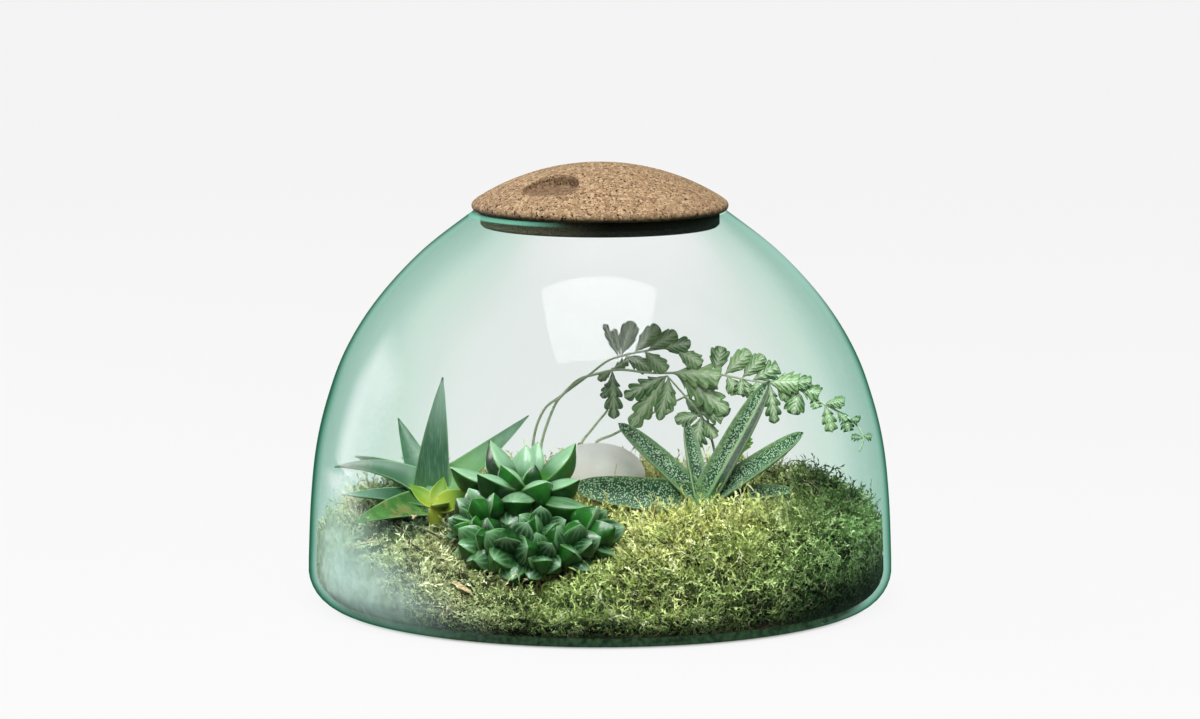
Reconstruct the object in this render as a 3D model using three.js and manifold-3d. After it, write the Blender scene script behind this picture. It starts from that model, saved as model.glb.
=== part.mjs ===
// A closed glass garden: a low domed glass vessel with a cork lid, laid out with moss, three
// succulents and a small fern round a pale pebble.
// Millimetres, +Z up. The origin is the middle of the vessel's underside.
import * as THREE from 'three';
import { mergeVertices } from 'three/addons/utils/BufferGeometryUtils.js';
import Module from 'manifold-3d';

const wasm = await Module();
wasm.setup();

// Glass vessel
const GLASS_WALL = 3.5;
const GLASS_HEIGHT = 192;
const GLASS_SIDES = 40;
const BODY_RADIUS = 142.5;
const BASE_CORNER = 18;
const RIM_RADIUS = 61.5;
const MOUTH_RADIUS = 58.6;
const MOUTH_DEPTH = 2.4;
const SHOULDER_STEPS = 9;
const SHOULDER = [[142.5, 18], [141.2, 50], [138.4, 77], [133, 100], [124, 124], [109, 148], [87, 172]];

// Cork lid
const LID_RADIUS = 62.4;
const LID_TOP = 215.5;
const DOME_RADIUS = 112;
const LID_EDGE = 2.6;
const PLUG_RADIUS = 58.1;
const PLUG_BOTTOM = 185;
const SCOOP = { x: -24, y: -35, floor: 204.2, radius: 14.5, height: 20, lean: 6 };

// Gap between pieces that rest on each other
const SEAT = 0.3;

// Moss and soil: the moss rises from the glass at the front to a ridge and falls at the walls
const FRONT_EDGE = -132;
const RIDGE_Y = -15;
const FRONT_HEIGHT = 10;
const RIDGE_HEIGHT = 50;
const FRONT_CURVE = 3.2;
const WALL_FALL = 13;
const WALL_FALL_START = 118;
const MOSS_DEPTH = 12;
const SOIL_FLOOR = 2;
const SOIL_EDGE = [96, 132];
const GLASS_GAP = 0.5;
const TUFT_HEIGHT = 1.3;
const SOIL_RINGS = 5;
const MOSS_RINGS = 10;
const MOUNDS = [
  { x: 99, y: 45, height: 8, spread: 38 },
  { x: -40, y: -92, height: -18, spread: 36 },
  { x: -34, y: -42, height: -5, spread: 20 },
  { x: -100, y: -12, height: -12, spread: 30 },
  { x: -112, y: -46, height: -6, spread: 18 },
  { x: 22, y: 4, height: -9.5, spread: 27 },
  { x: 2, y: -67, height: -13, spread: 20 },
  { x: -66, y: -69, height: -10, spread: 16 },
  { x: -8, y: -88, height: -7, spread: 16 },
  { x: 50, y: 4, height: -4, spread: 16 },
  { x: 80, y: -6, height: -6, spread: 18 },
];

// Seams between the four laid cushions of moss, from the middle of the garden to the wall
const SEAM_CENTRE = [2, -2];
const SEAMS = [
  [[-24, -8], [-52, -24], [-96, -66], [-150, -92]],
  [[30, -22], [62, -40], [96, -78], [150, -118]],
  [[34, 22], [70, 26], [108, 4], [160, 12]],
  [[-26, 34], [-60, 48], [-96, 50], [-150, 74]],
];
const SEAM_WIDTH = 0.6;

const CROWN_SIDES = 7;

const STONE = { x: -3, y: 50, z: 54.5, radii: [25.5, 19, 16], turn: 12 };

// Leaf outlines: share of the full width at even steps from root to tip,
// and how much the last step is shortened to blunt the tip
const SWORD_OUTLINE = { shares: [0.9, 1, 0.92, 0.78, 0.56, 0.24], blunt: 0.2 };
const SHOOT_OUTLINE = { shares: [0.7, 1, 0.8, 0.45], blunt: 0.2 };
const WINDOW_OUTLINE = { shares: [0.6, 1, 0.8], blunt: 0.3 };
const TONGUE_OUTLINE = { shares: [0.9, 1, 1, 0.95, 0.82, 0.52], blunt: 0.45 };
const LEAFLET_OUTLINE = { shares: [0.2, 0.85, 1, 0.78], blunt: 0.5 };
const SCRAP_OUTLINE = { shares: [0.3, 0.9, 1, 0.7], blunt: 0 };
const EDGE_SHARE = 0.35;

// Corners across a leaf, as shares of half its width and of its depth
const SWORD_SECTION = [[1, 0.1], [0.5, 0.1], [-0.5, 0.1], [-1, 0.1], [-0.45, -0.8], [0.45, -0.8]];
const KEEL_SECTION = [[1, 0], [0, 0.16], [-1, 0], [0, -1]];
const TONGUE_SECTION = [[1, 0.15], [0, -0.15], [-1, 0.15], [-0.7, -0.45], [0, -1], [0.7, -0.45]];
const BLADE_SECTION = [[1, -0.5], [0, 0.5], [-1, -0.5], [0, -0.5]];
const SCRAP_SECTION = [[1, 0.2], [0, 1], [-1, 0.2], [0, -0.4]];

// Aloe with long smooth leaves: z is the height at which the crown leaves the moss
const ALOE = { x: -83, y: 5, z: 47, stem: 8, crown: 9, leafRoot: 3, leafDepth: 4.5 };
const ALOE_LEAVES = [
  { azimuth: 10, rise: 84, length: 60, width: 16.5, bend: 4, face: [0.2, -1, 0.1] },
  { azimuth: 14, rise: 37, length: 62, width: 14.5, bend: -6, lift: 5, face: [-0.4, -1, 0.5] },
  { azimuth: 120, rise: 46, length: 48, width: 16, bend: 2, lift: 4, face: [0.3, -1, 0.4] },
  { azimuth: 176, rise: 12, length: 52, width: 14, bend: 44, lift: 8, face: [0, -0.7, 1] },
  { azimuth: 152, rise: 18, length: 46, width: 14, bend: 24, lift: 7, face: [0, -0.6, 1] },
  { azimuth: 206, rise: 6, length: 47, width: 13, bend: 12, face: [0, -0.6, 1] },
  { azimuth: 236, rise: -2, length: 64, width: 15.5, bend: 14, lift: 1, face: [0.2, -1, 0.9] },
  { azimuth: 60, rise: 14, length: 38, width: 12, bend: 14, face: [0, 0.2, 1] },
];

// Yellow-green shoot in front of the aloe
const SHOOT = { x: -79, y: -34, z: 48, stem: 4, crown: 7, leafRoot: 5, leafDepth: 3.2 };
const SHOOT_LEAVES = [
  { azimuth: -10, rise: 20, length: 19, width: 13, bend: -6, face: [-0.3, -0.9, 0.8] },
  { azimuth: 170, rise: 36, length: 17, width: 9, bend: -8, face: [0.4, -0.9, 0.8] },
  { azimuth: 64, rise: 58, length: 15, width: 9, bend: 0, face: [0, -1, 0.4] },
  { azimuth: -62, rise: 12, length: 14, width: 9, bend: 12, face: [0, -0.3, 1] },
];

// Dark green clump: one tall rosette of keeled window leaves with its offsets round the foot,
// all grown from low mounds of stems. An offset opens round its own leaning axis
const CLUMP_MOUNDS = [
  { x: -36, y: -42, z: 52, radii: [10.5, 10.5, 16] },
  { x: -33, y: -66, z: 38, radii: [31, 24, 11] },
  { x: -57, y: -57, z: 43, radii: [9, 9, 9] },
];
const ROSETTE = { x: -36, y: -42, z: 60 };
const ROSETTE_LEAVES = [
  { azimuth: 160, rise: 50, out: 3, length: 25, width: 15 },
  { azimuth: 86, rise: 68, out: 1, length: 20, width: 14 },
  { azimuth: 60, rise: 60, out: 2, length: 22, width: 10 },
  { azimuth: 18, rise: 38, out: 5, length: 27, width: 15 },
  { azimuth: 181, rise: 14, out: 7, length: 30, width: 14 },
  { azimuth: 212, rise: 18, out: 6, length: 22, width: 14 },
  { azimuth: 216, rise: 42, out: 2, length: 17, width: 13 },
  { azimuth: 323, rise: 66, out: 1, length: 13, width: 10 },
  { azimuth: 305, rise: 17, out: 3, length: 16, width: 14 },
  { azimuth: 256, rise: -8, out: 4, length: 20, width: 14 },
  { azimuth: 350, rise: 10, out: 6, length: 21, width: 13.5 },
  { azimuth: 334, rise: -14, out: 6, length: 28, width: 14 },
  { azimuth: 352, rise: -20, out: 6, length: 28, width: 11 },
  { azimuth: 250, rise: -32, out: 5, length: 23, width: 14 },
  { azimuth: 132, rise: 22, out: 4, length: 26, width: 14 },
  { azimuth: 96, rise: 12, out: 4, length: 27, width: 14 },
  { azimuth: 56, rise: 16, out: 4, length: 26, width: 14 },
];
const OFFSETS = [
  { x: -56, y: -55, z: 48, azimuth: 212, rise: 52, size: 15, leaves: 6, first: 40 },
  { x: -61, y: -62, z: 45, azimuth: 205, rise: 30, size: 11, leaves: 5, first: 10 },
  { x: -53, y: -74, z: 38, azimuth: 222, rise: 26, size: 15, leaves: 6, first: 60 },
  { x: -42, y: -83, z: 37, azimuth: 262, rise: 18, size: 17, leaves: 6, first: 270 },
  { x: -29, y: -84, z: 34, azimuth: 282, rise: 24, size: 13, leaves: 6, first: 90 },
  { x: -28, y: -70, z: 44, azimuth: 276, rise: 42, size: 13, leaves: 6, first: 0 },
  { x: -15, y: -79, z: 38, azimuth: 302, rise: 30, size: 15, leaves: 6, first: 130 },
  { x: -8, y: -66, z: 41, azimuth: 336, rise: 28, size: 18, leaves: 5, first: 20 },
];
const OFFSET_SPREAD = [16, 74];
const GOLDEN_ANGLE = 137.5;
const WINDOW_DEPTH = 0.6;
const WINDOW_CURL = 0.1;
const OFFSET_WIDTH = 0.66;

// Gasteria with blunt tongue-shaped leaves
const GASTERIA = { x: 50, y: 5, z: 45, stem: 7, crown: 8, leafRoot: 4, leafDepth: 5 };
const GASTERIA_LEAVES = [
  { azimuth: 186, rise: 7, length: 64, width: 16.5, bend: 2, face: [0, -1, 0.35] },
  { azimuth: 166, rise: 41, length: 56, width: 12.5, bend: 6, face: [0.3, -0.7, 0.7] },
  { azimuth: 108, rise: 56, length: 43, width: 10, bend: 4, face: [0.6, -0.8, 0.2] },
  { azimuth: -12, rise: 61, length: 68, width: 16, bend: 0, face: [-0.7, -0.7, 0.3] },
  { azimuth: -16, rise: 35, length: 62, width: 14, bend: -4, face: [-0.4, -0.6, 0.7] },
  { azimuth: -14, rise: 8, length: 46, width: 13, bend: 8, face: [0, -0.5, 1] },
  { azimuth: 62, rise: 24, length: 38, width: 12, bend: 12, face: [0, 0.2, 1] },
];

// Fern: each frond is a thin stalk with flat leaflets turned towards the front
const FERN_FACE = new THREE.Vector3(0.1, -0.85, 0.5);
const STALK_RADIUS = 0.75;
const STALK_TIP_RADIUS = 0.45;
const STALK_SIDES = 5;
const STALK_STEPS = 80;
const STALK_ROOT = 6;
const RIB_THICKNESS = 1;
const LEAFLET_ARCH = 0.12;
const FERN_FRONDS = [
  {
    name: 'fern_frond_1',
    stalk: [[-34, 66, 52], [-33, 63, 72], [-28, 60, 86], [-20, 58, 93], [-7, 56, 103], [3, 54, 111],
      [10, 52, 114], [21, 48, 117], [35, 44, 119], [46, 39, 116]],
    leaflets: [
      { root: [9, 52, 113], tip: [2, 56, 130], width: 3.6, teeth: 2 },
      { root: [10, 52, 114], tip: [7, 53, 128], width: 3, teeth: 2 },
      { root: [11, 52, 114], tip: [16, 50, 132], width: 6.5 },
      { root: [17, 50, 116], tip: [29, 47, 130], width: 6.5 },
      { root: [24, 48, 117], tip: [38, 44, 127], width: 6.5 },
      { root: [30, 46, 118], tip: [45, 41, 122], width: 6.5 },
      { root: [38, 43, 118], tip: [50, 36, 112], width: 7 },
      { root: [12, 51, 114], tip: [26, 45, 108], width: 6 },
      { root: [22, 48, 117], tip: [33, 42, 108], width: 6.5 },
    ],
  },
  {
    name: 'fern_frond_2',
    stalk: [[-30, 59, 52], [-29, 58, 70], [-23, 56, 88], [-18, 55, 95], [-11, 53, 102], [-3, 51, 105],
      [9, 47, 108], [23, 44, 107], [33, 42, 107], [49, 38, 108], [60, 36, 107], [78, 32, 104],
      [95, 27, 102], [107, 22, 96], [119, 17, 90], [126, 12, 85], [129, 9, 79], [127, 7, 73]],
    leaflets: [
      { root: [35, 41, 107], tip: [60, 30, 107], width: 10.5, teeth: 3 },
      { root: [37, 41, 107], tip: [63, 31, 89], width: 10.5, teeth: 4 },
      { root: [57, 36, 107], tip: [60, 37, 121], width: 7 },
      { root: [62, 36, 107], tip: [74, 35, 119], width: 7 },
      { root: [70, 34, 106], tip: [81, 33, 117], width: 6.5 },
      { root: [75, 33, 105], tip: [88, 30, 112], width: 8, teeth: 2 },
      { root: [82, 31, 104], tip: [98, 24, 105], width: 10, teeth: 2 },
      { root: [97, 26, 101], tip: [108, 20, 100], width: 7, teeth: 2 },
      { root: [62, 35, 106], tip: [68, 31, 98], width: 6 },
      { root: [69, 34, 106], tip: [75, 30, 97], width: 5.5 },
      { root: [83, 30, 103], tip: [86, 25, 84], width: 6, teeth: 3 },
      { root: [87, 29, 103], tip: [94, 25, 96], width: 5.5 },
      { root: [98, 26, 101], tip: [95, 22, 89], width: 7.5 },
      { root: [110, 20, 95], tip: [114, 16, 81], width: 5.5, teeth: 2 },
      { root: [110, 20, 95], tip: [120, 15, 97], width: 5 },
      { root: [120, 16, 90], tip: [122, 13, 82], width: 5, teeth: 2 },
    ],
  },
  {
    name: 'fern_frond_3',
    stalk: [[-12, 72, 50], [-10, 71, 66], [-4, 69, 75], [-1, 68, 79], [4, 66, 86], [6, 64, 96], [6, 62, 107]],
    leaflets: [
      { root: [6, 62, 106], tip: [7, 56, 82], width: 7, teeth: 3 },
      { root: [6, 62, 106], tip: [-1, 60, 101], width: 3.5 },
      { root: [6, 63, 101], tip: [1, 59, 92], width: 3.5, teeth: 2 },
      { root: [6, 62, 106], tip: [14, 58, 111], width: 4, teeth: 2 },
    ],
  },
  {
    name: 'fern_frond_4',
    stalk: [[-5, 79, 50], [-3, 76, 66], [7, 73, 72], [21, 68, 80], [25, 66, 83], [35, 61, 89], [44, 57, 94],
      [50, 53, 98]],
    leaflets: [
      { root: [46, 56, 95], tip: [64, 46, 86], width: 8, teeth: 3 },
      { root: [42, 58, 93], tip: [52, 52, 85], width: 5.5 },
      { root: [48, 54, 97], tip: [58, 49, 101], width: 6, teeth: 2 },
    ],
  },
  {
    name: 'fern_frond_5',
    stalk: [[58, 46, 52], [57, 44, 66], [54, 40, 78], [49, 36, 88], [40, 33, 99], [33, 32, 107]],
    leaflets: [
      { root: [33, 32, 107], tip: [12, 26, 97], width: 7.5, teeth: 3 },
      { root: [32, 32, 107], tip: [15, 24, 82], width: 8, teeth: 3 },
      { root: [27, 29, 98], tip: [29, 23, 86], width: 5.5 },
      { root: [33, 32, 106], tip: [33, 25, 89], width: 6.5 },
      { root: [50, 37, 87], tip: [37, 30, 85], width: 5.5 },
      { root: [50, 37, 86], tip: [47, 29, 72], width: 8.5, teeth: 3 },
      { root: [51, 37, 85], tip: [57, 31, 76], width: 5 },
      { root: [49, 36, 88], tip: [61, 31, 86], width: 6, teeth: 2 },
    ],
  },
  {
    name: 'fern_sprout',
    stalk: [[72, 40, 52], [71, 38, 60], [70, 37, 68]],
    leaflets: [
      { root: [71, 38, 63], tip: [64, 37, 68], width: 5, teeth: 2 },
      { root: [71, 38, 61], tip: [78, 36, 64], width: 5, teeth: 2 },
      { root: [70, 37, 67], tip: [73, 36, 76], width: 5, teeth: 2 },
    ],
  },
];

// Litter that lies half sunk in the moss, with its far end lifted above it
const TWIGS = [
  { name: 'twig_1', from: [104, 27], to: [120, 31], radius: 0.7, lift: 0.4 },
  { name: 'twig_2', from: [120, 0], to: [131, 8], radius: 0.9, lift: 2 },
  { name: 'twig_3', from: [-91, -72], to: [-83, -80], radius: 0.8, lift: 0.3 },
];
const SCRAPS = [
  { name: 'dry_leaf_1', from: [-121, -62], to: [-104, -72], width: 5, lift: 0.5 },
  { name: 'dry_leaf_2', from: [-70, -97], to: [-60, -104], width: 5, lift: 0.3 },
];

const SCRAP_DEPTH = 0.9;

const UP = new THREE.Vector3(0, 0, 1);
const radians = THREE.MathUtils.degToRad;
const vector = (list) => new THREE.Vector3(...list);

// Direction from its compass turn and its rise above level, in degrees
function direction(azimuth, rise) {
  const level = new THREE.Vector3(Math.cos(radians(azimuth)), Math.sin(radians(azimuth)), 0);
  return level.multiplyScalar(Math.cos(radians(rise))).setZ(Math.sin(radians(rise)));
}

// Turn a closed geometry into a solid that can be joined and cut
function solid(geometry) {
  const plain = geometry.index ? geometry.clone() : geometry;
  plain.deleteAttribute('normal');
  plain.deleteAttribute('uv');
  const merged = mergeVertices(plain, 1e-4);
  return new wasm.Manifold(new wasm.Mesh({
    numProp: 3,
    vertProperties: new Float32Array(merged.getAttribute('position').array),
    triVerts: new Uint32Array(merged.index.array),
  }));
}

function geometryOf(manifold) {
  const mesh = manifold.getMesh();
  const geometry = new THREE.BufferGeometry();
  geometry.setAttribute('position', new THREE.BufferAttribute(mesh.vertProperties, 3));
  geometry.setIndex(new THREE.BufferAttribute(mesh.triVerts, 1));
  geometry.computeVertexNormals();
  return geometry;
}

function fuse(solids) {
  return solids.reduce((whole, piece) => whole.add(piece));
}

// Skin a row of rings, each with the same number of points, and close it at both ends
function loft(rings, tip) {
  const count = rings[0].length;
  const points = [...rings.flat(), tip];
  const last = (rings.length - 1) * count;
  const faces = [];
  for (let start = 0; start < last; start += count) {
    for (let j = 0; j < count; j++) {
      const a = start + j;
      const b = start + (j + 1) % count;
      faces.push(a, b + count, b, a, a + count, b + count);
    }
  }
  for (let j = 0; j < count; j++) {
    faces.push(last + j, points.length - 1, last + (j + 1) % count);
  }
  for (let j = 1; j + 1 < count; j++) {
    faces.push(0, j, j + 1);
  }
  const geometry = new THREE.BufferGeometry().setFromPoints(points);
  geometry.setIndex(faces);
  return geometry;
}

// The side and face directions of a leaf at one place on its curve
function leafFrame(path, share, face) {
  const along = path.getTangent(share);
  const side = new THREE.Vector3().crossVectors(along, face).normalize();
  const out = new THREE.Vector3().crossVectors(side, along).normalize();
  return { point: path.getPoint(share), along, side, out };
}

// Rings across a leaf: section gives each corner as shares of the width and of the depth,
// and the leaf thins as it narrows
function leafRings(path, face, outline, width, depth, section) {
  const steps = outline.shares.length - outline.blunt;
  return outline.shares.map((share, step) => {
    const frame = leafFrame(path, step / steps, face);
    const thickness = depth * THREE.MathUtils.lerp(EDGE_SHARE, 1, share);
    return section.map(([across, through]) => frame.point.clone()
      .addScaledVector(frame.side, across * share * width / 2)
      .addScaledVector(frame.out, through * thickness));
  });
}

// A leaf that leaves its root at one angle and bends down towards its tip
function leafPath(root, leaf) {
  const start = direction(leaf.azimuth, leaf.rise + leaf.bend / 2);
  const end = direction(leaf.azimuth, leaf.rise - leaf.bend / 2);
  const middle = root.clone().addScaledVector(start, leaf.length / 2);
  const tip = middle.clone().addScaledVector(end, leaf.length / 2);
  return new THREE.QuadraticBezierCurve3(root, middle, tip);
}

// A crown with its fleshy leaves, which stands in a hole in the moss
function fleshyPlant(plant, specs, outline, section) {
  const leaves = specs.map((leaf) => {
    const root = new THREE.Vector3(plant.x, plant.y, plant.z + (leaf.lift ?? plant.leafRoot));
    const path = leafPath(root, leaf);
    const rings = leafRings(path, vector(leaf.face), outline, leaf.width, plant.leafDepth, section);
    return solid(loft(rings, path.getPoint(1)));
  });
  return fuse([crown(plant), ...leaves]);
}

// A round post along +Z
function post(x, y, bottom, top, radius, sides) {
  const geometry = new THREE.CylinderGeometry(radius, radius, top - bottom, sides);
  geometry.rotateX(Math.PI / 2);
  geometry.translate(x, y, (top + bottom) / 2);
  return solid(geometry);
}

// Height at which a stem ends in the moss
function stemBottom(plant) {
  return mossHeight(plant.x, plant.y) - MOSS_DEPTH / 2;
}

// Round crown that the leaf roots grow from
function crown(plant) {
  const [bottom, top] = [stemBottom(plant), plant.z + plant.crown];
  const shape = [[0, bottom], [plant.stem * 0.8, bottom], [plant.stem, top - plant.stem], [0, top]];
  const profile = shape.map(([radius, z]) => new THREE.Vector2(radius, z));
  const geometry = revolve(profile, CROWN_SIDES);
  geometry.translate(plant.x, plant.y, 0);
  return solid(geometry);
}

// Outline of the vessel's wall: flat base, round corner, then the shoulder up to the rim
function wallProfile(inset) {
  const centre = BODY_RADIUS - BASE_CORNER;
  const arc = BASE_CORNER - inset;
  const corner = [-90, -62, -34, -8].map((degrees) => {
    const angle = radians(degrees);
    return new THREE.Vector2(centre + arc * Math.cos(angle), BASE_CORNER + arc * Math.sin(angle));
  });
  const places = [...SHOULDER, [RIM_RADIUS, GLASS_HEIGHT]].map(([r, z]) => new THREE.Vector2(r, z));
  const curve = new THREE.SplineCurve(places);
  const shoulder = [];
  for (let step = 1; step <= SHOULDER_STEPS; step++) {
    const point = curve.getPoint(step / SHOULDER_STEPS);
    const tangent = curve.getTangent(step / SHOULDER_STEPS);
    shoulder.push(new THREE.Vector2(point.x - tangent.y * inset, point.y + tangent.x * inset));
  }
  return [...corner, ...shoulder];
}

function revolve(profile, segments) {
  const geometry = new THREE.LatheGeometry(profile, segments);
  geometry.rotateX(Math.PI / 2);
  return geometry;
}

function glassVessel() {
  const outer = wallProfile(0);
  const inner = wallProfile(GLASS_WALL).reverse();
  return solid(revolve([
    new THREE.Vector2(0, 0),
    ...outer,
    new THREE.Vector2(MOUTH_RADIUS, GLASS_HEIGHT),
    new THREE.Vector2(MOUTH_RADIUS, GLASS_HEIGHT - MOUTH_DEPTH),
    ...inner,
    new THREE.Vector2(0, GLASS_WALL),
  ], GLASS_SIDES));
}

function corkLid() {
  const underside = GLASS_HEIGHT + SEAT;
  const centre = LID_TOP - DOME_RADIUS;
  const edge = [-90, -45, 0, 40].map((degrees) => new THREE.Vector2(
    LID_RADIUS - LID_EDGE + LID_EDGE * Math.cos(radians(degrees)),
    underside + LID_EDGE + LID_EDGE * Math.sin(radians(degrees)),
  ));
  const dome = [32, 27, 21.5, 16, 10.5, 5, 0].map((degrees) => new THREE.Vector2(
    DOME_RADIUS * Math.sin(radians(degrees)), centre + DOME_RADIUS * Math.cos(radians(degrees)),
  ));
  const body = solid(revolve([
    new THREE.Vector2(0, PLUG_BOTTOM),
    new THREE.Vector2(PLUG_RADIUS - 1, PLUG_BOTTOM),
    new THREE.Vector2(PLUG_RADIUS, PLUG_BOTTOM + 1),
    new THREE.Vector2(PLUG_RADIUS, underside),
    ...edge,
    ...dome,
  ], GLASS_SIDES));
  const scoop = new THREE.CylinderGeometry(SCOOP.radius, SCOOP.radius, SCOOP.height, 18);
  scoop.rotateX(Math.PI / 2);
  scoop.translate(0, 0, SCOOP.height / 2);
  scoop.rotateX(radians(SCOOP.lean));
  scoop.rotateY(radians(-SCOOP.lean));
  scoop.translate(SCOOP.x, SCOOP.y, SCOOP.floor);
  return body.subtract(solid(scoop));
}

// Radius of the glass inside at a height, between the points of the inner profile
const INNER_WALL = wallProfile(GLASS_WALL);
function innerRadius(z) {
  for (let i = 1; i < INNER_WALL.length; i++) {
    const low = INNER_WALL[i - 1];
    const high = INNER_WALL[i];
    if (z <= high.y) {
      return THREE.MathUtils.mapLinear(Math.max(z, low.y), low.y, high.y, low.x, high.x);
    }
  }
  return RIM_RADIUS;
}

function mossHeight(x, y) {
  const towardsFront = Math.max(0, (RIDGE_Y - y) / (RIDGE_Y - FRONT_EDGE));
  const slope = Math.min(1, towardsFront ** FRONT_CURVE);
  const radius = Math.hypot(x, y);
  const sides = 1 - Math.min(1, towardsFront ** 2);
  let z = RIDGE_HEIGHT - (RIDGE_HEIGHT - FRONT_HEIGHT) * slope;
  z -= WALL_FALL * sides * THREE.MathUtils.smoothstep(radius, WALL_FALL_START, BODY_RADIUS);
  for (const mound of MOUNDS) {
    const distance = Math.hypot(x - mound.x, y - mound.y) / mound.spread;
    z += mound.height * Math.exp(-(distance ** 2));
  }
  return Math.max(z, FRONT_HEIGHT);
}

// Small uneven tufts on the moss, the same on every run
function tufts(x, y) {
  return TUFT_HEIGHT * (Math.sin(x * 0.31 + y * 0.17) + Math.sin(y * 0.37 - x * 0.13)) / 1.5;
}

// The soil is a mound that thins out before it meets the glass
function soilHeight(x, y) {
  const floor = GLASS_WALL + SOIL_FLOOR;
  const deep = Math.max(mossHeight(x, y) - MOSS_DEPTH, floor);
  return THREE.MathUtils.lerp(deep, floor, THREE.MathUtils.smoothstep(Math.hypot(x, y), ...SOIL_EDGE));
}

// Radius at which a surface meets the glass in one direction
function reach(height, angle) {
  let radius = BODY_RADIUS - BASE_CORNER;
  for (let pass = 0; pass < 12; pass++) {
    radius = innerRadius(height(radius * Math.cos(angle), radius * Math.sin(angle))) - GLASS_GAP;
  }
  return radius;
}

// A bed inside the glass, seated on a lower surface, with its edge along the wall
function bed(upper, ringsUp, lower, ringsDown, edgeSteps) {
  const angles = Array.from({ length: GLASS_SIDES }, (_, i) => i * 2 * Math.PI / GLASS_SIDES);
  const rise = new THREE.Vector3(0, 0, SEAT);
  const rings = [];
  for (let ring = 1; ring <= ringsDown; ring++) {
    rings.push(angles.map((angle) => onSurface(lower, angle, ring / ringsDown).add(rise)));
  }
  for (let step = 1; step < edgeSteps; step++) {
    rings.push(angles.map((angle) => {
      const low = onSurface(lower, angle, 1).add(rise);
      const high = onSurface(upper, angle, 1);
      const z = THREE.MathUtils.lerp(low.z, high.z, step / edgeSteps);
      const radius = innerRadius(z) - GLASS_GAP;
      return new THREE.Vector3(radius * Math.cos(angle), radius * Math.sin(angle), z);
    }));
  }
  for (let ring = ringsUp; ring >= 1; ring--) {
    rings.push(angles.map((angle) => onSurface(upper, angle, ring / ringsUp)));
  }
  const bottom = new THREE.Vector3(0, 0, lower(0, 0) + SEAT);
  return solid(closedRings(rings, bottom, new THREE.Vector3(0, 0, upper(0, 0))));
}

function onSurface(height, angle, share) {
  const radius = reach(height, angle) * share;
  const x = radius * Math.cos(angle);
  const y = radius * Math.sin(angle);
  return new THREE.Vector3(x, y, height(x, y));
}

// Rings from a bottom pole to a top pole, each running anticlockwise seen from above. Facets
// are split alike on surfaces that run inwards and outwards, so that seated beds match
function closedRings(rings, bottom, top) {
  const count = rings[0].length;
  const points = [bottom, ...rings.flat(), top];
  const faces = [];
  for (let j = 0; j < count; j++) {
    const next = (j + 1) % count;
    faces.push(0, 1 + next, 1 + j);
    for (let start = 1; start < 1 + (rings.length - 1) * count; start += count) {
      const [a, b, c, d] = [start + j, start + next, start + next + count, start + j + count];
      const inward = Math.hypot(points[d].x, points[d].y) < Math.hypot(points[a].x, points[a].y);
      faces.push(...(inward ? [a, b, c, a, c, d] : [a, b, d, b, c, d]));
    }
    const last = 1 + (rings.length - 1) * count;
    faces.push(last + j, last + next, points.length - 1);
  }
  const geometry = new THREE.BufferGeometry().setFromPoints(points);
  geometry.setIndex(faces);
  return geometry;
}

// An upright block with a hand-laid outline, tall enough to cut the whole bed
function block(outline) {
  const shape = new THREE.Shape(outline.map(([x, y]) => new THREE.Vector2(x, y)));
  return solid(new THREE.ExtrudeGeometry(shape, { depth: GLASS_HEIGHT, bevelEnabled: false }));
}

// The narrow seam between two cushions, as a thin upright wall
function seamWall(seam) {
  const line = [SEAM_CENTRE, ...seam];
  const half = SEAM_WIDTH / 2;
  const sides = [1, -1].map((sign) => line.map(([x, y], i) => {
    const [ax, ay] = line[Math.max(i - 1, 0)];
    const [bx, by] = line[Math.min(i + 1, line.length - 1)];
    const length = Math.hypot(bx - ax, by - ay);
    return [x - sign * half * (by - ay) / length, y + sign * half * (bx - ax) / length];
  }));
  return block([...sides[1], ...sides[0].reverse()]);
}

// Moss cushion between one seam and the next, going round anticlockwise
function cushionBlock(seam, nextSeam, corners) {
  return block([SEAM_CENTRE, ...seam, ...corners, ...[...nextSeam].reverse()]);
}

function pebble(grow) {
  const geometry = new THREE.SphereGeometry(1, 15, 8);
  geometry.scale(STONE.radii[0] + grow, STONE.radii[1] + grow, STONE.radii[2] + grow);
  geometry.rotateZ(radians(STONE.turn));
  geometry.translate(STONE.x, STONE.y, STONE.z);
  return solid(geometry);
}

// A short thick leaf with a flat window above and a keel below, curving in towards the axis
function windowLeaf(centre, axis, along, out, length, width) {
  const root = centre.clone().addScaledVector(along, out);
  const middle = root.clone().addScaledVector(along, length * 0.6);
  const tip = root.clone().addScaledVector(along, length).addScaledVector(axis, length * WINDOW_CURL);
  const path = new THREE.QuadraticBezierCurve3(root, middle, tip);
  const rings = leafRings(path, axis, WINDOW_OUTLINE, width, width * WINDOW_DEPTH, KEEL_SECTION);
  return solid(loft(rings, tip));
}

function rosette() {
  const centre = new THREE.Vector3(ROSETTE.x, ROSETTE.y, ROSETTE.z);
  return ROSETTE_LEAVES.map((leaf) => windowLeaf(
    centre, UP, direction(leaf.azimuth, leaf.rise), leaf.out, leaf.length, leaf.width,
  ));
}

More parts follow.
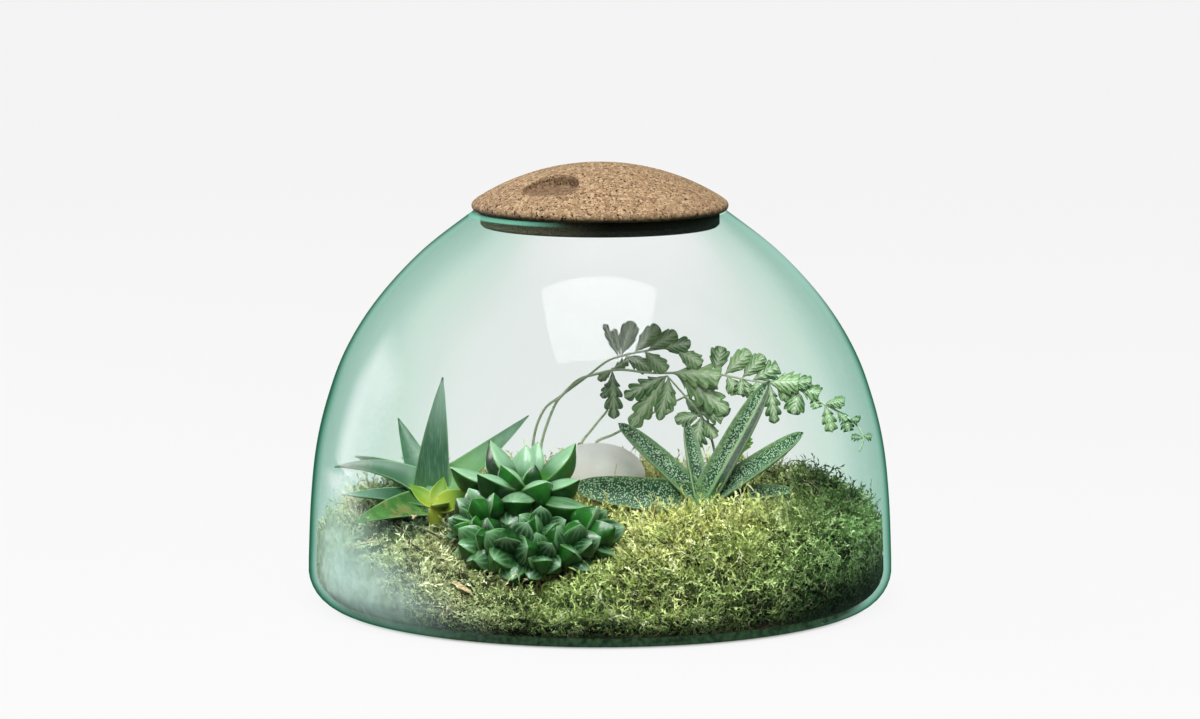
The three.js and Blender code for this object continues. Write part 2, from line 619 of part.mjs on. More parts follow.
// A small rosette whose leaves open round a leaning axis
function offset(spot) {
  const centre = new THREE.Vector3(spot.x, spot.y, spot.z);
  const axis = direction(spot.azimuth, spot.rise);
  const across = new THREE.Vector3().crossVectors(axis, UP).normalize();
  const [inner, outer] = OFFSET_SPREAD;
  return Array.from({ length: spot.leaves }, (_, i) => {
    const open = radians(THREE.MathUtils.lerp(inner, outer, i / (spot.leaves - 1)));
    const radial = across.clone().applyAxisAngle(axis, radians(spot.first + i * GOLDEN_ANGLE));
    const along = axis.clone().multiplyScalar(Math.cos(open)).addScaledVector(radial, Math.sin(open));
    return windowLeaf(centre, axis, along, 1, spot.size, spot.size * OFFSET_WIDTH);
  });
}

// One of the clump's mounds, or the larger copy that cuts its hollow in the moss
function mound(spec, grow) {
  const geometry = new THREE.SphereGeometry(1, 12, 7);
  geometry.scale(spec.radii[0] + grow, spec.radii[1] + grow, spec.radii[2] + grow);
  geometry.translate(spec.x, spec.y, spec.z);
  return solid(geometry);
}

function clump() {
  return fuse([...CLUMP_MOUNDS.map((spec) => mound(spec, 0)), ...rosette(), ...OFFSETS.flatMap(offset)]);
}

// A round stalk that thins towards its tip
function tube(path, steps, rootRadius, tipRadius, sides) {
  const rings = [];
  for (let step = 0; step < steps; step++) {
    const share = step / steps;
    const frame = leafFrame(path, share, FERN_FACE);
    const radius = THREE.MathUtils.lerp(rootRadius, tipRadius, share);
    rings.push(Array.from({ length: sides }, (_, j) => {
      const angle = 2 * Math.PI * j / sides;
      return frame.point.clone()
        .addScaledVector(frame.side, radius * Math.cos(angle))
        .addScaledVector(frame.out, radius * Math.sin(angle));
    }));
  }
  return solid(loft(rings, path.getPoint(1)));
}

// Outline of a toothed leaflet: a notch and a forward point for each tooth
function toothedOutline(teeth) {
  const shares = [0.2];
  for (let tooth = 0; tooth < teeth; tooth++) {
    const full = Math.sin(Math.PI * (0.34 + 0.42 * (tooth + 0.5) / teeth));
    shares.push(full, full * 0.62);
  }
  return { shares, blunt: 0.3 };
}

// The place on a stalk that is nearest to a leaflet's root
function nearestOn(stalk, root) {
  const places = stalk.getPoints(STALK_STEPS);
  return places.reduce((best, place) => (place.distanceTo(root) < best.distanceTo(root) ? place : best));
}

// A flat leaflet with a raised rib, thin at its edges
function leaflet(spec, stalk) {
  const root = nearestOn(stalk, vector(spec.root));
  const tip = vector(spec.tip);
  const length = root.distanceTo(tip);
  const middle = root.clone().lerp(tip, 0.5).addScaledVector(FERN_FACE, length * LEAFLET_ARCH);
  const path = new THREE.QuadraticBezierCurve3(root, middle, tip);
  const outline = spec.teeth ? toothedOutline(spec.teeth) : LEAFLET_OUTLINE;
  const rings = leafRings(path, FERN_FACE, outline, spec.width, RIB_THICKNESS, BLADE_SECTION);
  return solid(loft(rings, tip));
}

function frond(spec) {
  const path = new THREE.CatmullRomCurve3(spec.stalk.map(vector), false, 'centripetal');
  const stalk = tube(path, spec.stalk.length + 2, STALK_RADIUS, STALK_TIP_RADIUS, STALK_SIDES);
  return fuse([stalk, ...spec.leaflets.map((item) => leaflet(item, path))]);
}

const upperMoss = (x, y) => mossHeight(x, y) + tufts(x, y);
const soil = bed(soilHeight, SOIL_RINGS, () => GLASS_WALL, 1, 3);
const moss = bed(upperMoss, MOSS_RINGS, soilHeight, SOIL_RINGS, 4);

// The place on top of the moss above a point of the plan
function onMoss([x, y]) {
  const probe = post(x, y, 0, GLASS_HEIGHT, SEAT, 6);
  return new THREE.Vector3(x, y, moss.intersect(probe).boundingBox().max[2]);
}

// Twigs and dry leaves follow the moss, half sunk in it. The copy that cuts their hollow is
// larger all round
function litterPath(spec, grow) {
  const start = onMoss(spec.from);
  const end = onMoss(spec.to).addScaledVector(UP, spec.lift);
  const along = end.clone().sub(start).normalize();
  return new THREE.LineCurve3(start.addScaledVector(along, -grow), end.addScaledVector(along, 3 * grow));
}

function twig(spec, grow) {
  return tube(litterPath(spec, grow), 3, spec.radius + grow, spec.radius * 0.7 + grow, 6);
}

function scrap(spec, grow) {
  const path = litterPath(spec, grow);
  path.v1.z -= grow * 1.2;
  path.v2.z -= grow * 1.2;
  const width = spec.width + 4 * grow;
  const rings = leafRings(path, UP, SCRAP_OUTLINE, width, SCRAP_DEPTH + 3 * grow, SCRAP_SECTION);
  return solid(loft(rings, path.getPoint(1)));
}

// Plain holes that the plants stand in, cut through moss and soil alike
function plantHoles() {
  const stems = [ALOE, SHOOT, GASTERIA].map((plant) => post(
    plant.x, plant.y, stemBottom(plant) - SEAT, GLASS_HEIGHT, plant.stem + SEAT, 12,
  ));
  const stalks = FERN_FRONDS.map((spec) => {
    const [x, y, z] = spec.stalk[0];
    return post(x, y, z - STALK_ROOT - SEAT, GLASS_HEIGHT, STALK_RADIUS * 2, 8);
  });
  return [...stems, ...stalks, ...CLUMP_MOUNDS.map((spec) => mound(spec, SEAT * 2))];
}

const group = new THREE.Group();
function add(name, manifold, color, roughness, options = {}) {
  const material = new THREE.MeshStandardMaterial({ color, roughness, metalness: 0, ...options });
  const mesh = new THREE.Mesh(geometryOf(manifold), material);
  mesh.name = name;
  group.add(mesh);
}

const litter = [...TWIGS.map((spec) => twig(spec, SEAT)), ...SCRAPS.map((spec) => scrap(spec, SEAT))];
const cuts = [pebble(SEAT), ...plantHoles()];
const openMoss = fuse([...cuts, ...litter, ...SEAMS.map(seamWall)]);
const laidMoss = moss.subtract(openMoss);

add('glass_vessel', glassVessel(), 0xcfe8dd, 0.05, { transparent: true, opacity: 0.3 });
add('cork_lid', corkLid(), 0xc8a57d, 0.85);
add('soil', soil.subtract(fuse(cuts)), 0x3a2c20, 0.95);
const cushions = [
  ['moss_left', 3, 0, [[-200, 74], [-200, -92]], 0x8f9a5c],
  ['moss_front', 0, 1, [[-150, -200], [150, -200]], 0xa3ad4e],
  ['moss_right', 1, 2, [[200, -118], [200, 12]], 0x6f8a3a],
  ['moss_back', 2, 3, [[160, 200], [-150, 200]], 0x86943f],
];
for (const [name, from, to, corners, color] of cushions) {
  add(name, laidMoss.intersect(cushionBlock(SEAMS[from], SEAMS[to], corners)), color, 0.95);
}
add('stone', pebble(0), 0xc9c7bd, 0.8);
add('aloe', fleshyPlant(ALOE, ALOE_LEAVES, SWORD_OUTLINE, SWORD_SECTION), 0x4f8a5b, 0.4);
add('young_shoot', fleshyPlant(SHOOT, SHOOT_LEAVES, SHOOT_OUTLINE, SWORD_SECTION), 0xa9c53a, 0.4);
add('haworthia_clump', clump(), 0x1f6b35, 0.35);
add('gasteria', fleshyPlant(GASTERIA, GASTERIA_LEAVES, TONGUE_OUTLINE, TONGUE_SECTION), 0x3c7a5a, 0.45);
for (const spec of FERN_FRONDS) {
  add(spec.name, frond(spec), spec.name === 'fern_sprout' ? 0x7fae3c : 0x6f9468, 0.6);
}
for (const spec of TWIGS) {
  add(spec.name, twig(spec, 0), 0x3f3226, 0.9);
}
for (const spec of SCRAPS) {
  add(spec.name, scrap(spec, 0), 0xb59a72, 0.8);
}

export default group;
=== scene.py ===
import bmesh
import bpy
import numpy as np
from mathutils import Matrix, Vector


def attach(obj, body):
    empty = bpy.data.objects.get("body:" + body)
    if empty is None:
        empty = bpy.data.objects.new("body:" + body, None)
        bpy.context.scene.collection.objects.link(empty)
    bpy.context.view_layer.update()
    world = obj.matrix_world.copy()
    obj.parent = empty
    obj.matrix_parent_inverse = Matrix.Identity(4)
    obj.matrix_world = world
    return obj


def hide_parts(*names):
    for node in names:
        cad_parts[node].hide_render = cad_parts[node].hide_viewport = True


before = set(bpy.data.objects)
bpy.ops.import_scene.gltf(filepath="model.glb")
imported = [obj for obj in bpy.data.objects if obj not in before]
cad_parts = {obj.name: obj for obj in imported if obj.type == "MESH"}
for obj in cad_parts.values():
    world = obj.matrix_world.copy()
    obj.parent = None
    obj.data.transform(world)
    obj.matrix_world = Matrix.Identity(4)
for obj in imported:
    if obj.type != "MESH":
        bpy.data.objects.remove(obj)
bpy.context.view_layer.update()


# Glass vessel. One dome of green recycled glass, blown with a flat base, a softly rounded foot and
# a cut neck. The thin wall is clear face on and teal on edge. A pale veil on its lower left is painted
# haze that stands for light reflected there, and a band at the left of the neck's cut edge is painted
# bright, as painted light.
glass_wall, rim_height, rim_radius, mouth_radius = 3.5, 192.0, 61.5, 58.6
body_radius, foot_round, rim_bevel, rim_cut = 142.5, 18.0, 0.3, 2.4
hub = 2.0  # radius of the small flat in the middle of anything turned
shoulder = [(142.5, 18), (141.2, 50), (138.4, 77), (133, 100), (124, 124), (109, 148), (87, 172),
            (rim_radius, rim_height)]


def smooth(stops, places):
    """A smooth line through the stops, read at places from 0 to 1."""
    stops = np.asarray(stops, float)
    padded = np.concatenate([stops[:1], stops, stops[-1:]])
    place = np.clip(places, 0, 1) * (len(stops) - 1)
    start = np.minimum(place.astype(int), len(stops) - 2)
    t = (place - start).reshape(-1, *[1] * (stops.ndim - 1))
    a, b, c, d = (padded[start + k] for k in range(4))
    bend = (2 * a - 5 * b + 4 * c - d) * t**2 + (3 * b - a - 3 * c + d) * t**3
    return b + ((c - a) * t + bend) / 2


def unit(vectors):
    return vectors / np.linalg.norm(vectors, axis=-1, keepdims=True)


def arc(middle, radius, first, last, steps):
    """Points of an arc, by its angles in degrees up from the level."""
    angle = np.radians(np.linspace(first, last, steps))
    return np.column_stack([np.cos(angle), np.sin(angle)]) * radius + middle


def wall_line(inset):
    """Radius and height of the wall from the foot to the rim."""
    foot = arc((body_radius - foot_round, foot_round), foot_round - inset, -90, -6, 10)
    line = smooth(shoulder, np.linspace(0.03, 1, 50))
    run = unit(np.gradient(line, axis=0))
    return np.vstack([foot, line + inset * np.column_stack([-run[:, 1], run[:, 0]])])


def turned(profile, steps=192):
    """Rings of a body turned round the upright axis."""
    angle = np.linspace(0, 2 * np.pi, steps, endpoint=False)
    radius, height = np.asarray(profile, float).T[:, :, None]
    return np.stack([radius * np.cos(angle), radius * np.sin(angle), height + 0 * angle], -1)


trait_names = ["along", "across", "upper", "tone"]


class Growth:
    """Points and facets gathered into one piece, with the traits that its finish reads."""

    def __init__(self):
        self.points, self.facets, self.traits, self.count = [], [], [], 0

    def add(self, points, facets, *traits):
        """Takes each trait as one number or as one for each point, in the order of trait_names."""
        points = np.reshape(points, (-1, 3))
        traits = np.column_stack([np.broadcast_to(np.ravel(trait), len(points)) for trait in traits])
        self.points.append(points)
        self.facets.append(np.asarray(facets) + self.count)
        self.traits.append(traits)
        self.count += len(points)

    def loft(self, rings, along=0.0, across=0.0, upper=0.0, tone=0.5):
        """Skins a row of closed rings and closes both ends."""
        steps, corners = rings.shape[:2]
        place = np.arange(steps * corners).reshape(steps, corners)
        near, far = place[:-1], place[1:]
        near_next, far_next = np.roll(near, -1, 1), np.roll(far, -1, 1)
        sides = [np.stack(sheet, -1).reshape(-1, 3) for sheet in
                 [(near, near_next, far_next), (near, far_next, far)]]
        fan = np.arange(1, corners - 1)
        first = np.column_stack([0 * fan, fan + 1, fan])
        last = (steps - 1) * corners + np.column_stack([0 * fan, fan, fan + 1])
        facets = np.concatenate([*sides, first, last])
        points = rings.reshape(-1, 3)
        a, b, c = (points[facets[:, k]] - points.mean(0) for k in range(3))
        if np.sum(a * np.cross(b, c)) < 0:
            facets = facets[:, ::-1]
        along = np.broadcast_to(np.reshape(along, (-1, 1)), (steps, corners))
        across, upper = (np.broadcast_to(trait, (steps, corners)) for trait in [across, upper])
        self.add(points, facets, along, across, upper, tone)

    def piece(self, name, material):
        mesh = bpy.data.meshes.new(name)
        points, facets, traits = map(np.concatenate, [self.points, self.facets, self.traits])
        mesh.vertices.add(len(points))
        mesh.vertices.foreach_set("co", (points / 1000).ravel())
        mesh.loops.add(facets.size)
        mesh.loops.foreach_set("vertex_index", facets.ravel())
        mesh.polygons.add(len(facets))
        mesh.polygons.foreach_set("loop_start", np.arange(0, facets.size, 3))
        mesh.update(calc_edges=True)
        mesh.shade_smooth()
        for column, trait in enumerate(trait_names):
            mesh.attributes.new(trait, "FLOAT", "POINT").data.foreach_set("value", traits[:, column])
        mesh.materials.append(material)
        made = bpy.data.objects.new(name, mesh)
        bpy.context.scene.collection.objects.link(made)
        return made


class Value:
    """A number or colour that varies over a surface. Arithmetic on it adds Math nodes."""

    def __init__(self, finish, socket):
        self.finish, self.socket = finish, socket

    def maths(self, operation, first, second):
        return self.finish.node("Math", {"operation": operation}, {0: first, 1: second})

    def __add__(self, other):
        return self.maths("ADD", self, other)

    def __mul__(self, other):
        return self.maths("MULTIPLY", self, other)

    def __sub__(self, other):
        return self.maths("SUBTRACT", self, other)

    def __rsub__(self, other):
        return self.maths("SUBTRACT", other, self)

    def __pow__(self, other):
        return self.maths("POWER", self, other)

    def __abs__(self):
        return self.maths("ABSOLUTE", self, 0.0)

    def rise(self, low, high):
        """0 below low, 1 above high, and smooth between. It falls where low is above high."""
        return self.finish.node("MapRange", {"interpolation_type": "SMOOTHSTEP"},
                                {"Value": self, "From Min": low, "From Max": high})

    def wave(self):
        """The sine of the value."""
        return self.maths("SINE", self, 0.0)

    def mix(self, first, second):
        """The first colour where the value is 0, and the second where it is 1."""
        return self.finish.node("Mix", {"data_type": "RGBA"}, {0: self, 6: first, 7: second}, 2)


class Finish:
    """The nodes of a material, a light or the air round the object. Patterns are in millimetres."""

    def __init__(self, name, holder=None):
        self.holder = holder or bpy.data.materials.new(name)
        self.holder.use_nodes = True
        self.tree = self.holder.node_tree
        self.tree.nodes.clear()
        place = self.node("TexCoord", {}, {}, "Object")
        self.place = self.node("VectorMath", {"operation": "SCALE"}, {0: place, "Scale": 1000.0})

    def node(self, kind, settings, inputs, output=0):
        node = self.tree.nodes.new("ShaderNode" + kind)
        for setting, choice in settings.items():
            setattr(node, setting, choice)
        for name, value in inputs.items():
            if isinstance(value, Value):
                self.tree.links.new(value.socket, node.inputs[name])
            else:
                node.inputs[name].default_value = value
        return Value(self, node.outputs[output])

    def noise(self, size, detail=3.0, place=None):
        """Cloudy noise from 0 to 1 with features of about a size in mm."""
        return self.node("TexNoise", {}, {
            "Vector": place or self.place, "Scale": 1 / size, "Detail": detail})

    def cells(self, scale, output="Color", place=None, **settings):
        """Crowded cells, about as many to a mm as the scale says, each with a chance colour."""
        return self.node("TexVoronoi", settings, {"Vector": place or self.place, "Scale": scale}, output)

    def traits(self, names):
        return [self.node("Attribute", {"attribute_name": name}, {}, "Fac") for name in names.split()]

    def axes(self):
        """The place along X, Y and Z."""
        return [self.node("SeparateXYZ", {}, {0: self.place}, axis) for axis in range(3)]

    def stretched(self, x, y, z):
        """The place, with each direction scaled."""
        return self.node("VectorMath", {"operation": "MULTIPLY"}, {0: self.place, 1: (x, y, z)})

    def over(self, share, below, above):
        """One shader laid over another, as strongly as the share says."""
        return self.node("MixShader", {}, {0: share, 1: below, 2: above})

    def coat(self, colour, roughness, relief=None, depth=0.2, gloss=0.5):
        """Closes the material, with a relief whose full height is a depth in mm."""
        inputs = {"Base Color": colour, "Roughness": roughness, "Specular IOR Level": gloss}
        if relief:
            inputs["Normal"] = self.node("Bump", {}, {"Height": relief, "Distance": depth / 1000})
        return self.close("Material", Surface=self.node("BsdfPrincipled", {}, inputs))

    def close(self, kind, **shaders):
        """Ends the nodes of a Material, a Light or a World."""
        output = self.tree.nodes.new("ShaderNodeOutput" + kind)
        for name, shader in shaders.items():
            self.tree.links.new(shader.socket, output.inputs[name])
        return self.holder


def tint(red, green, blue):
    """A colour as it looks on a screen, 0 to 255, for a colour socket."""
    share = np.array([red, green, blue]) / 255
    linear = np.where(share <= 0.04045, share / 12.92, ((share + 0.055) / 1.055) ** 2.4)
    return (*linear.tolist(), 1.0)


def layered(colour, *layers):
    """A colour with others laid over it in turn, each as strongly as its share says."""
    for share, above in layers:
        colour = share.mix(colour, above)
    return colour


inner_wall = wall_line(glass_wall)
neck = [(rim_radius - rim_bevel, rim_height), (mouth_radius + rim_bevel, rim_height),
        (mouth_radius, rim_height - rim_bevel), (mouth_radius, rim_height - rim_cut)]
profile = np.vstack([[(hub, 0)], wall_line(0), neck, inner_wall[::-1], [(hub, glass_wall)]])
on_outside = np.arange(len(profile)) <= len(inner_wall)
vessel = Growth()
vessel.loft(turned(profile), upper=on_outside[:, None] * 1.0)
glass = Finish("green_glass")
colourless, true_glass = (1, 1, 1, 1), 0.01


def film(colour):
    """Glass that tints what is behind it, and doesn't bend it."""
    return glass.node("BsdfTransparent", {}, {"Color": colour})


x, y, z = glass.axes()
[outside] = glass.traits("upper")
facing = glass.node("LayerWeight", {}, {"Blend": 0.5}, "Facing")
# Base tint: teal by the rim, where the cut glass is seen on edge, and dark green at the foot, partly the
# thick base and partly painted shade from beneath.
wall_tint = layered(facing.rise(0.24, 0.62).mix((0.95, 0.965, 0.955, 1), (0.74, 0.94, 0.86, 1)),
                    (z.rise(rim_height - 5.5, rim_height - 2), (0.14, 0.42, 0.3, 1)),
                    (z.rise(6, 2), (0.14, 0.46, 0.28, 1)))
clear = glass.node("BsdfPrincipled", {}, {
    "Base Color": wall_tint, "Roughness": 0.0, "IOR": 1.45, "Transmission Weight": 1.0,
    "Specular Tint": (0.12, 0.12, 0.12, 1)})

# The wall's tint is a film for each step that it turns on edge. Light and shade are also painted into it
# by place: the crown is painted clearest in the middle and lighter at its sides, and the wall is painted
# darker low on the left.
off_middle, left_shade_height = abs(x - 12), z.rise(140, 100)
crown_sides_painted_light = z.rise(120, 172) * (x.rise(40, 90) * 0.13 + x.rise(-40, -90) * 0.04)
edge_on_and_painted_light = facing - crown_sides_painted_light + x.rise(-60, -110) * z.rise(130, 100) * 0.03
aslant_and_painted_light = edge_on_and_painted_light - z.rise(120, 165) * off_middle.rise(76, 15) * 0.3 + x.rise(-20, -75) * left_shade_height * 0.07
wall = film((0.93, 0.95, 0.94, 1))
for share, colour in [(z.rise(136, 168) * off_middle.rise(66, 15), colourless),
                      (aslant_and_painted_light.rise(0.2, 0.42), (0.84, 0.925, 0.88, 1)),
                      (aslant_and_painted_light.rise(0.4, 0.61), (0.705, 0.845, 0.79, 1)),
                      (edge_on_and_painted_light.rise(0.62, 0.82), (0.645, 0.79, 0.73, 1)),
                      (edge_on_and_painted_light.rise(0.77, 0.96), (0.12, 0.36, 0.26, 1))]:
    wall = glass.over(share, wall, film(colour))
gloss = facing**5 * facing.rise(0.85, 0.65) * 0.5 + 0.008
wall = glass.over(gloss, wall, glass.node("BsdfGlossy", {}, {"Roughness": 0.0}))
wall = glass.over(outside.rise(0.6, 0.4), wall, film(colourless))
seen = glass.over(1 - true_glass, clear, wall)

# The painted haze, a pale veil for light reflected in the wall, is thickest by the left outline, in
# patches that run down. A band at the left of the cut edge is painted bright, as painted light.
drift = glass.noise(16) * 16 - 8
smear = glass.noise(5, 4.0, glass.stretched(1, 1, 0.25)) * 18 - 9
painted_haze = (drift + smear - x - z * 1.15).rise(32, 104) * (z + drift).rise(92, 55) * y.rise(20, -30)
painted_haze = painted_haze * (x.rise(-60, -118) * 0.6 + 0.4) * (glass.noise(7, 5.0).rise(0.35, 0.65) * 0.4 + 0.7)
painted_rim_light = z.rise(rim_height - 2.1, rim_height - 1.4) * x.rise(-14, -45)
for share, colour in [(painted_haze * facing.rise(0.88, 0.6) * 0.6, tint(214, 238, 231)),
                      (painted_rim_light * 0.7, tint(90, 146, 126))]:
    seen = glass.over(share, seen, glass.node("BsdfDiffuse", {}, {"Color": colour}))
shadow = glass.node("LightPath", {}, {}, "Is Shadow Ray")
depth_tint = glass.node("VolumeAbsorption", {}, {"Color": (0.4, 0.95, 0.85, 1), "Density": 6.0})
glass.close("Material", Surface=glass.over(shadow, seen, film(tint(250, 254, 252))), Volume=depth_tint)
vessel = vessel.piece("glass_dome", glass.holder)
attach(vessel, "root")
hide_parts("glass_vessel")


# Soil. A low mound of dark potting mix that the stems stand in, hidden under the moss and seen
# only through the base. Its own solid is kept, with a crumbly finish.
earth = Finish("potting_mix")
crumb, grit = earth.noise(1.8, 6.0), earth.cells(0.35).rise(0.7, 0.74)
earth_colour = crumb.rise(0.3, 0.7).mix(tint(38, 27, 20), tint(88, 66, 48))
earth_colour = grit.mix(earth_colour, tint(128, 112, 92))


def dress(finish, *nodes):
    """Gives solids that are kept their finish."""
    for node in nodes:
        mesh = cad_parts[node].data
        mesh.materials.clear()
        mesh.materials.append(finish)


dress(earth.coat(earth_colour, 0.95, crumb, 1.2), "soil")


# Moss. Four cushions of feather moss laid side by side over the soil and pressed to the glass.
# Each is a lumpy dense thatch with thousands of curled shoots on it, small leaves along both sides.
thatch_depth, leaves_each, lump_depth = 1.6, 6, 4.2
moss_hollows = [((-100, -50), 27, 8), ((16, -24), 22, 5)]  # middle, radius, depth
moss_cushions = {  # shoots on each
    "moss_front": 16000, "moss_back": 13600, "moss_right": 9600, "moss_left": 10400}
scraps = [node.data for name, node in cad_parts.items() if name.startswith(("twig", "dry_leaf"))]
litter = np.concatenate([[vert.co[:2] for vert in mesh.vertices][::3] for mesh in scraps]) * 1000


def inside(height):
    """Radius of the glass inside at a height."""
    return np.interp(height, inner_wall[:, 1], inner_wall[:, 0])


def keep_inside(points, gap):
    """Presses points that would cross the glass back against it."""
    room = inside(points[..., 2]) - gap
    radius = np.hypot(points[..., 0], points[..., 1])
    points[..., :2] *= np.minimum(1, room / np.maximum(radius, 1e-6))[..., None]
    points[..., 2] = np.maximum(points[..., 2], glass_wall + gap)
    return points


def lumps(points):
    """Height of the tufts at each place, 0 in the hollows between them and 1 on top."""
    chance, height = np.random.default_rng(7), 0
    for size, share in [(19, 0.5), (10, 0.35), (5.5, 0.25)]:
        waves = unit(chance.normal(size=(9, 3))) * 2 * np.pi / size
        swell = np.sin(points @ waves.T + chance.uniform(0, 7, 9)).sum(1) / 3
        height = height + share * swell
    return np.clip(0.55 + height * 0.6, 0, 1)


def fine_cushion(node):
    """Points, facets and tuft heights of a cushion's solid, divided and sunk between its tufts."""
    mesh = bmesh.new()
    mesh.from_mesh(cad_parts[node].data)
    bmesh.ops.remove_doubles(mesh, verts=mesh.verts, dist=1e-6)
    bmesh.ops.subdivide_edges(mesh, edges=mesh.edges, cuts=3, use_grid_fill=True)
    bmesh.ops.triangulate(mesh, faces=mesh.faces)
    mesh.normal_update()
    points = np.array([vert.co for vert in mesh.verts]) * 1000
    outward = np.array([vert.normal for vert in mesh.verts])
    facets = np.array([[vert.index for vert in face.verts] for face in mesh.faces])
    mesh.free()
    height = lumps(points)
    points = points - outward * (thatch_depth + lump_depth * (1 - height))[:, None]
    for middle, radius, depth in moss_hollows:
        away = np.linalg.norm(points[:, :2] - middle, axis=1)
        points[:, 2] -= depth * np.exp(-(away / radius) ** 2) * np.clip(points[:, 2] / 20 - 0.5, 0, 1)
    return points, facets, height


def cushion_roots(points, facets, height, count, chance):
    """Random places on a cushion's top and on the side that shows through the glass."""
    a, b, c = (points[facets[:, k]] for k in range(3))
    outward = np.cross(b - a, c - a)
    area = np.linalg.norm(outward, axis=1)
    outward = unit(outward + 1e-12)
    centre = (a + b + c) / 3
    by_glass = np.hypot(centre[:, 0], centre[:, 1]) > inside(centre[:, 2]) - 9
    open_air = (outward[:, 2] > 0.3) | (by_glass & (outward[:, 2] > -0.75))
    tuft = height[facets].mean(1)
    area = area * open_air * np.where(centre[:, 1] > 60, 0.7, 1) * (0.35 + tuft)
    chosen = chance.choice(len(facets), count, p=area / area.sum())
    share = np.sort(chance.random((count, 2)), axis=1)
    weights = np.column_stack([share[:, 0], share[:, 1] - share[:, 0], 1 - share[:, 1]])
    roots = sum(weights[:, k:k + 1] * points[facets[chosen, k]] for k in range(3))
    return roots, outward[chosen], tuft[chosen]


def moss_shoots(cushion, roots, outward, tuft, chance):
    """A curled ribbon for each shoot, with small leaves on both sides."""
    count = len(roots)
    aim = unit(outward * 0.45 + chance.normal(size=(count, 3)) * 0.6 + (0, 0, 0.2))
    sway = chance.normal(size=(count, 3)) * 0.8 - (0, 0, 0.35)
    edge = unit(np.cross(aim, chance.normal(size=(count, 3))))
    lift = unit(np.cross(aim, edge))
    curl, turn = chance.uniform(0.3, 1.1, (count, 1)), chance.uniform(2.5, 7.5, (count, 1))
    tone = chance.random(count)
    length = chance.uniform(4, 9, count) * (0.75 + 0.5 * tuft)
    beside, before = (roots[:, None, axis] - litter[None, :, axis] for axis in range(2))
    gap = np.hypot(beside, np.where(before < 0, before * 0.35, before)).min(1)
    length *= np.clip(gap / 5, 0.25, 1)
    width = chance.uniform(0.35, 0.7, count)
    leaf = chance.uniform(0.9, 2.0, count)
    stray = tone < 0.03
    length[stray] *= 1.5
    curl[stray], sway[stray], leaf[stray] = 0, sway[stray] * 0.25, 0.2

    def place(share):
        curled = curl * ((np.cos(turn * share) - 1) * lift + np.sin(turn * share) * edge)
        return roots + aim * (length * share)[:, None] + sway * (length * share**2 / 2)[:, None] + curled

    points, along = [], []
    for share, thick in [(0, 1), (0.35, 0.95), (0.7, 0.75)]:
        half = edge * (width * thick / 2)[:, None]
        points += [place(share) + half, place(share) - half]
        along += [share, share]
    points.append(place(1.0))
    along.append(1.0)
    facets = [(0, 1, 3), (0, 3, 2), (2, 3, 5), (2, 5, 4), (4, 5, 6)]
    for number, share in enumerate(np.linspace(0.3, 0.92, leaves_each)):
        side = edge * (-1) ** number + lift * chance.uniform(-0.7, 0.9, (count, 1))
        points += [place(share - 0.06), place(share + 0.05), place(share + 0.1) + side * leaf[:, None]]
        along += [share, share, min(share + 0.2, 1)]
        facets.append((7 + 3 * number, 8 + 3 * number, 9 + 3 * number))
    points = keep_inside(np.stack(points, 1), 0.35)
    step = len(along) * np.arange(count)[:, None, None]
    cushion.add(points, (np.array(facets) + step).reshape(-1, 3), np.tile(along, count),
                0, np.repeat(tuft, len(along)), np.repeat(tone, len(along)))


moss = Finish("feather_moss")
x, y, z = moss.axes()
tone, along, tuft = moss.traits("tone along upper")
patch = moss.noise(22)
# Painted light: the moss is painted yellower higher up and towards the middle, where the light falls.
sunny = (patch + z * 0.012 - abs(x - 20) * 0.0035).rise(0.6, 1.2)
# Painted shade: the moss on the right is painted darker green, near black low down.
right_shade = (x + patch * 40).rise(85, 135)
pale = (patch * 60 - x).rise(50, 110)
faded = moss.noise(7, 2.0).rise(0.58, 0.7) * pale
# Painted shade: the moss is painted darker towards the bottom.
low = (z + patch * 26).rise(36, 12)
# Painted shadow of the aloe's leaves on the moss below them.
aloe_shadow = x.rise(-58, -76) * x.rise(-126, -102) * (y + patch * 16).rise(-46, -32)
green = tone.mix(tint(92, 124, 50), tint(220, 234, 152))
yellow = tone.mix(tint(150, 154, 56), tint(246, 242, 168))
living = layered(
    sunny.mix(green, yellow),
    (right_shade * 0.75, tone.mix(tint(50, 100, 40), tint(186, 216, 144))),
    (pale * 0.75, tone.mix(tint(160, 166, 104), tint(250, 244, 208))),
    (faded * 0.45, tint(200, 164, 130)),
    (tone.rise(0.9, 0.97) * 0.8, tint(246, 240, 200)),
    (low * (0.88 - pale * 0.33), tint(18, 48, 14)),
    (aloe_shadow * 0.8, tint(34, 72, 48)),
    (right_shade * z.rise(36, 16) * 0.9, tint(4, 34, 10)),
    (right_shade * z.rise(44, 57) * 0.85, tint(30, 62, 24)),
    # Painted shade in the hollows between the tufts.
    (tuft.rise(0.65, 0.15) * (1 - pale * 0.8) * 0.85, tint(18, 42, 10)))
# Painted shade deep in the mat: the shoots darken to near black towards their roots, and the thatch under
# them is near black.
living = along.rise(0.05, 0.75).mix(tint(8, 22, 4), living)
moss_colour = tone.rise(0.035, 0.025).mix(living, tint(84, 58, 38))
feather_moss = moss.coat(moss_colour, 0.75, gloss=0.2)
for number, (node, count) in enumerate(moss_cushions.items()):
    chance = np.random.default_rng(40 + number)
    points, facets, height = fine_cushion(node)
    cushion = Growth()
    cushion.add(keep_inside(points, 0.6), facets, 0.15, 0, height, 0.4)
    moss_shoots(cushion, *cushion_roots(points, facets, height, count, chance), chance)
    cushion = cushion.piece(node + "_shoots", feather_moss)
    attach(cushion, "root")
    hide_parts(node)


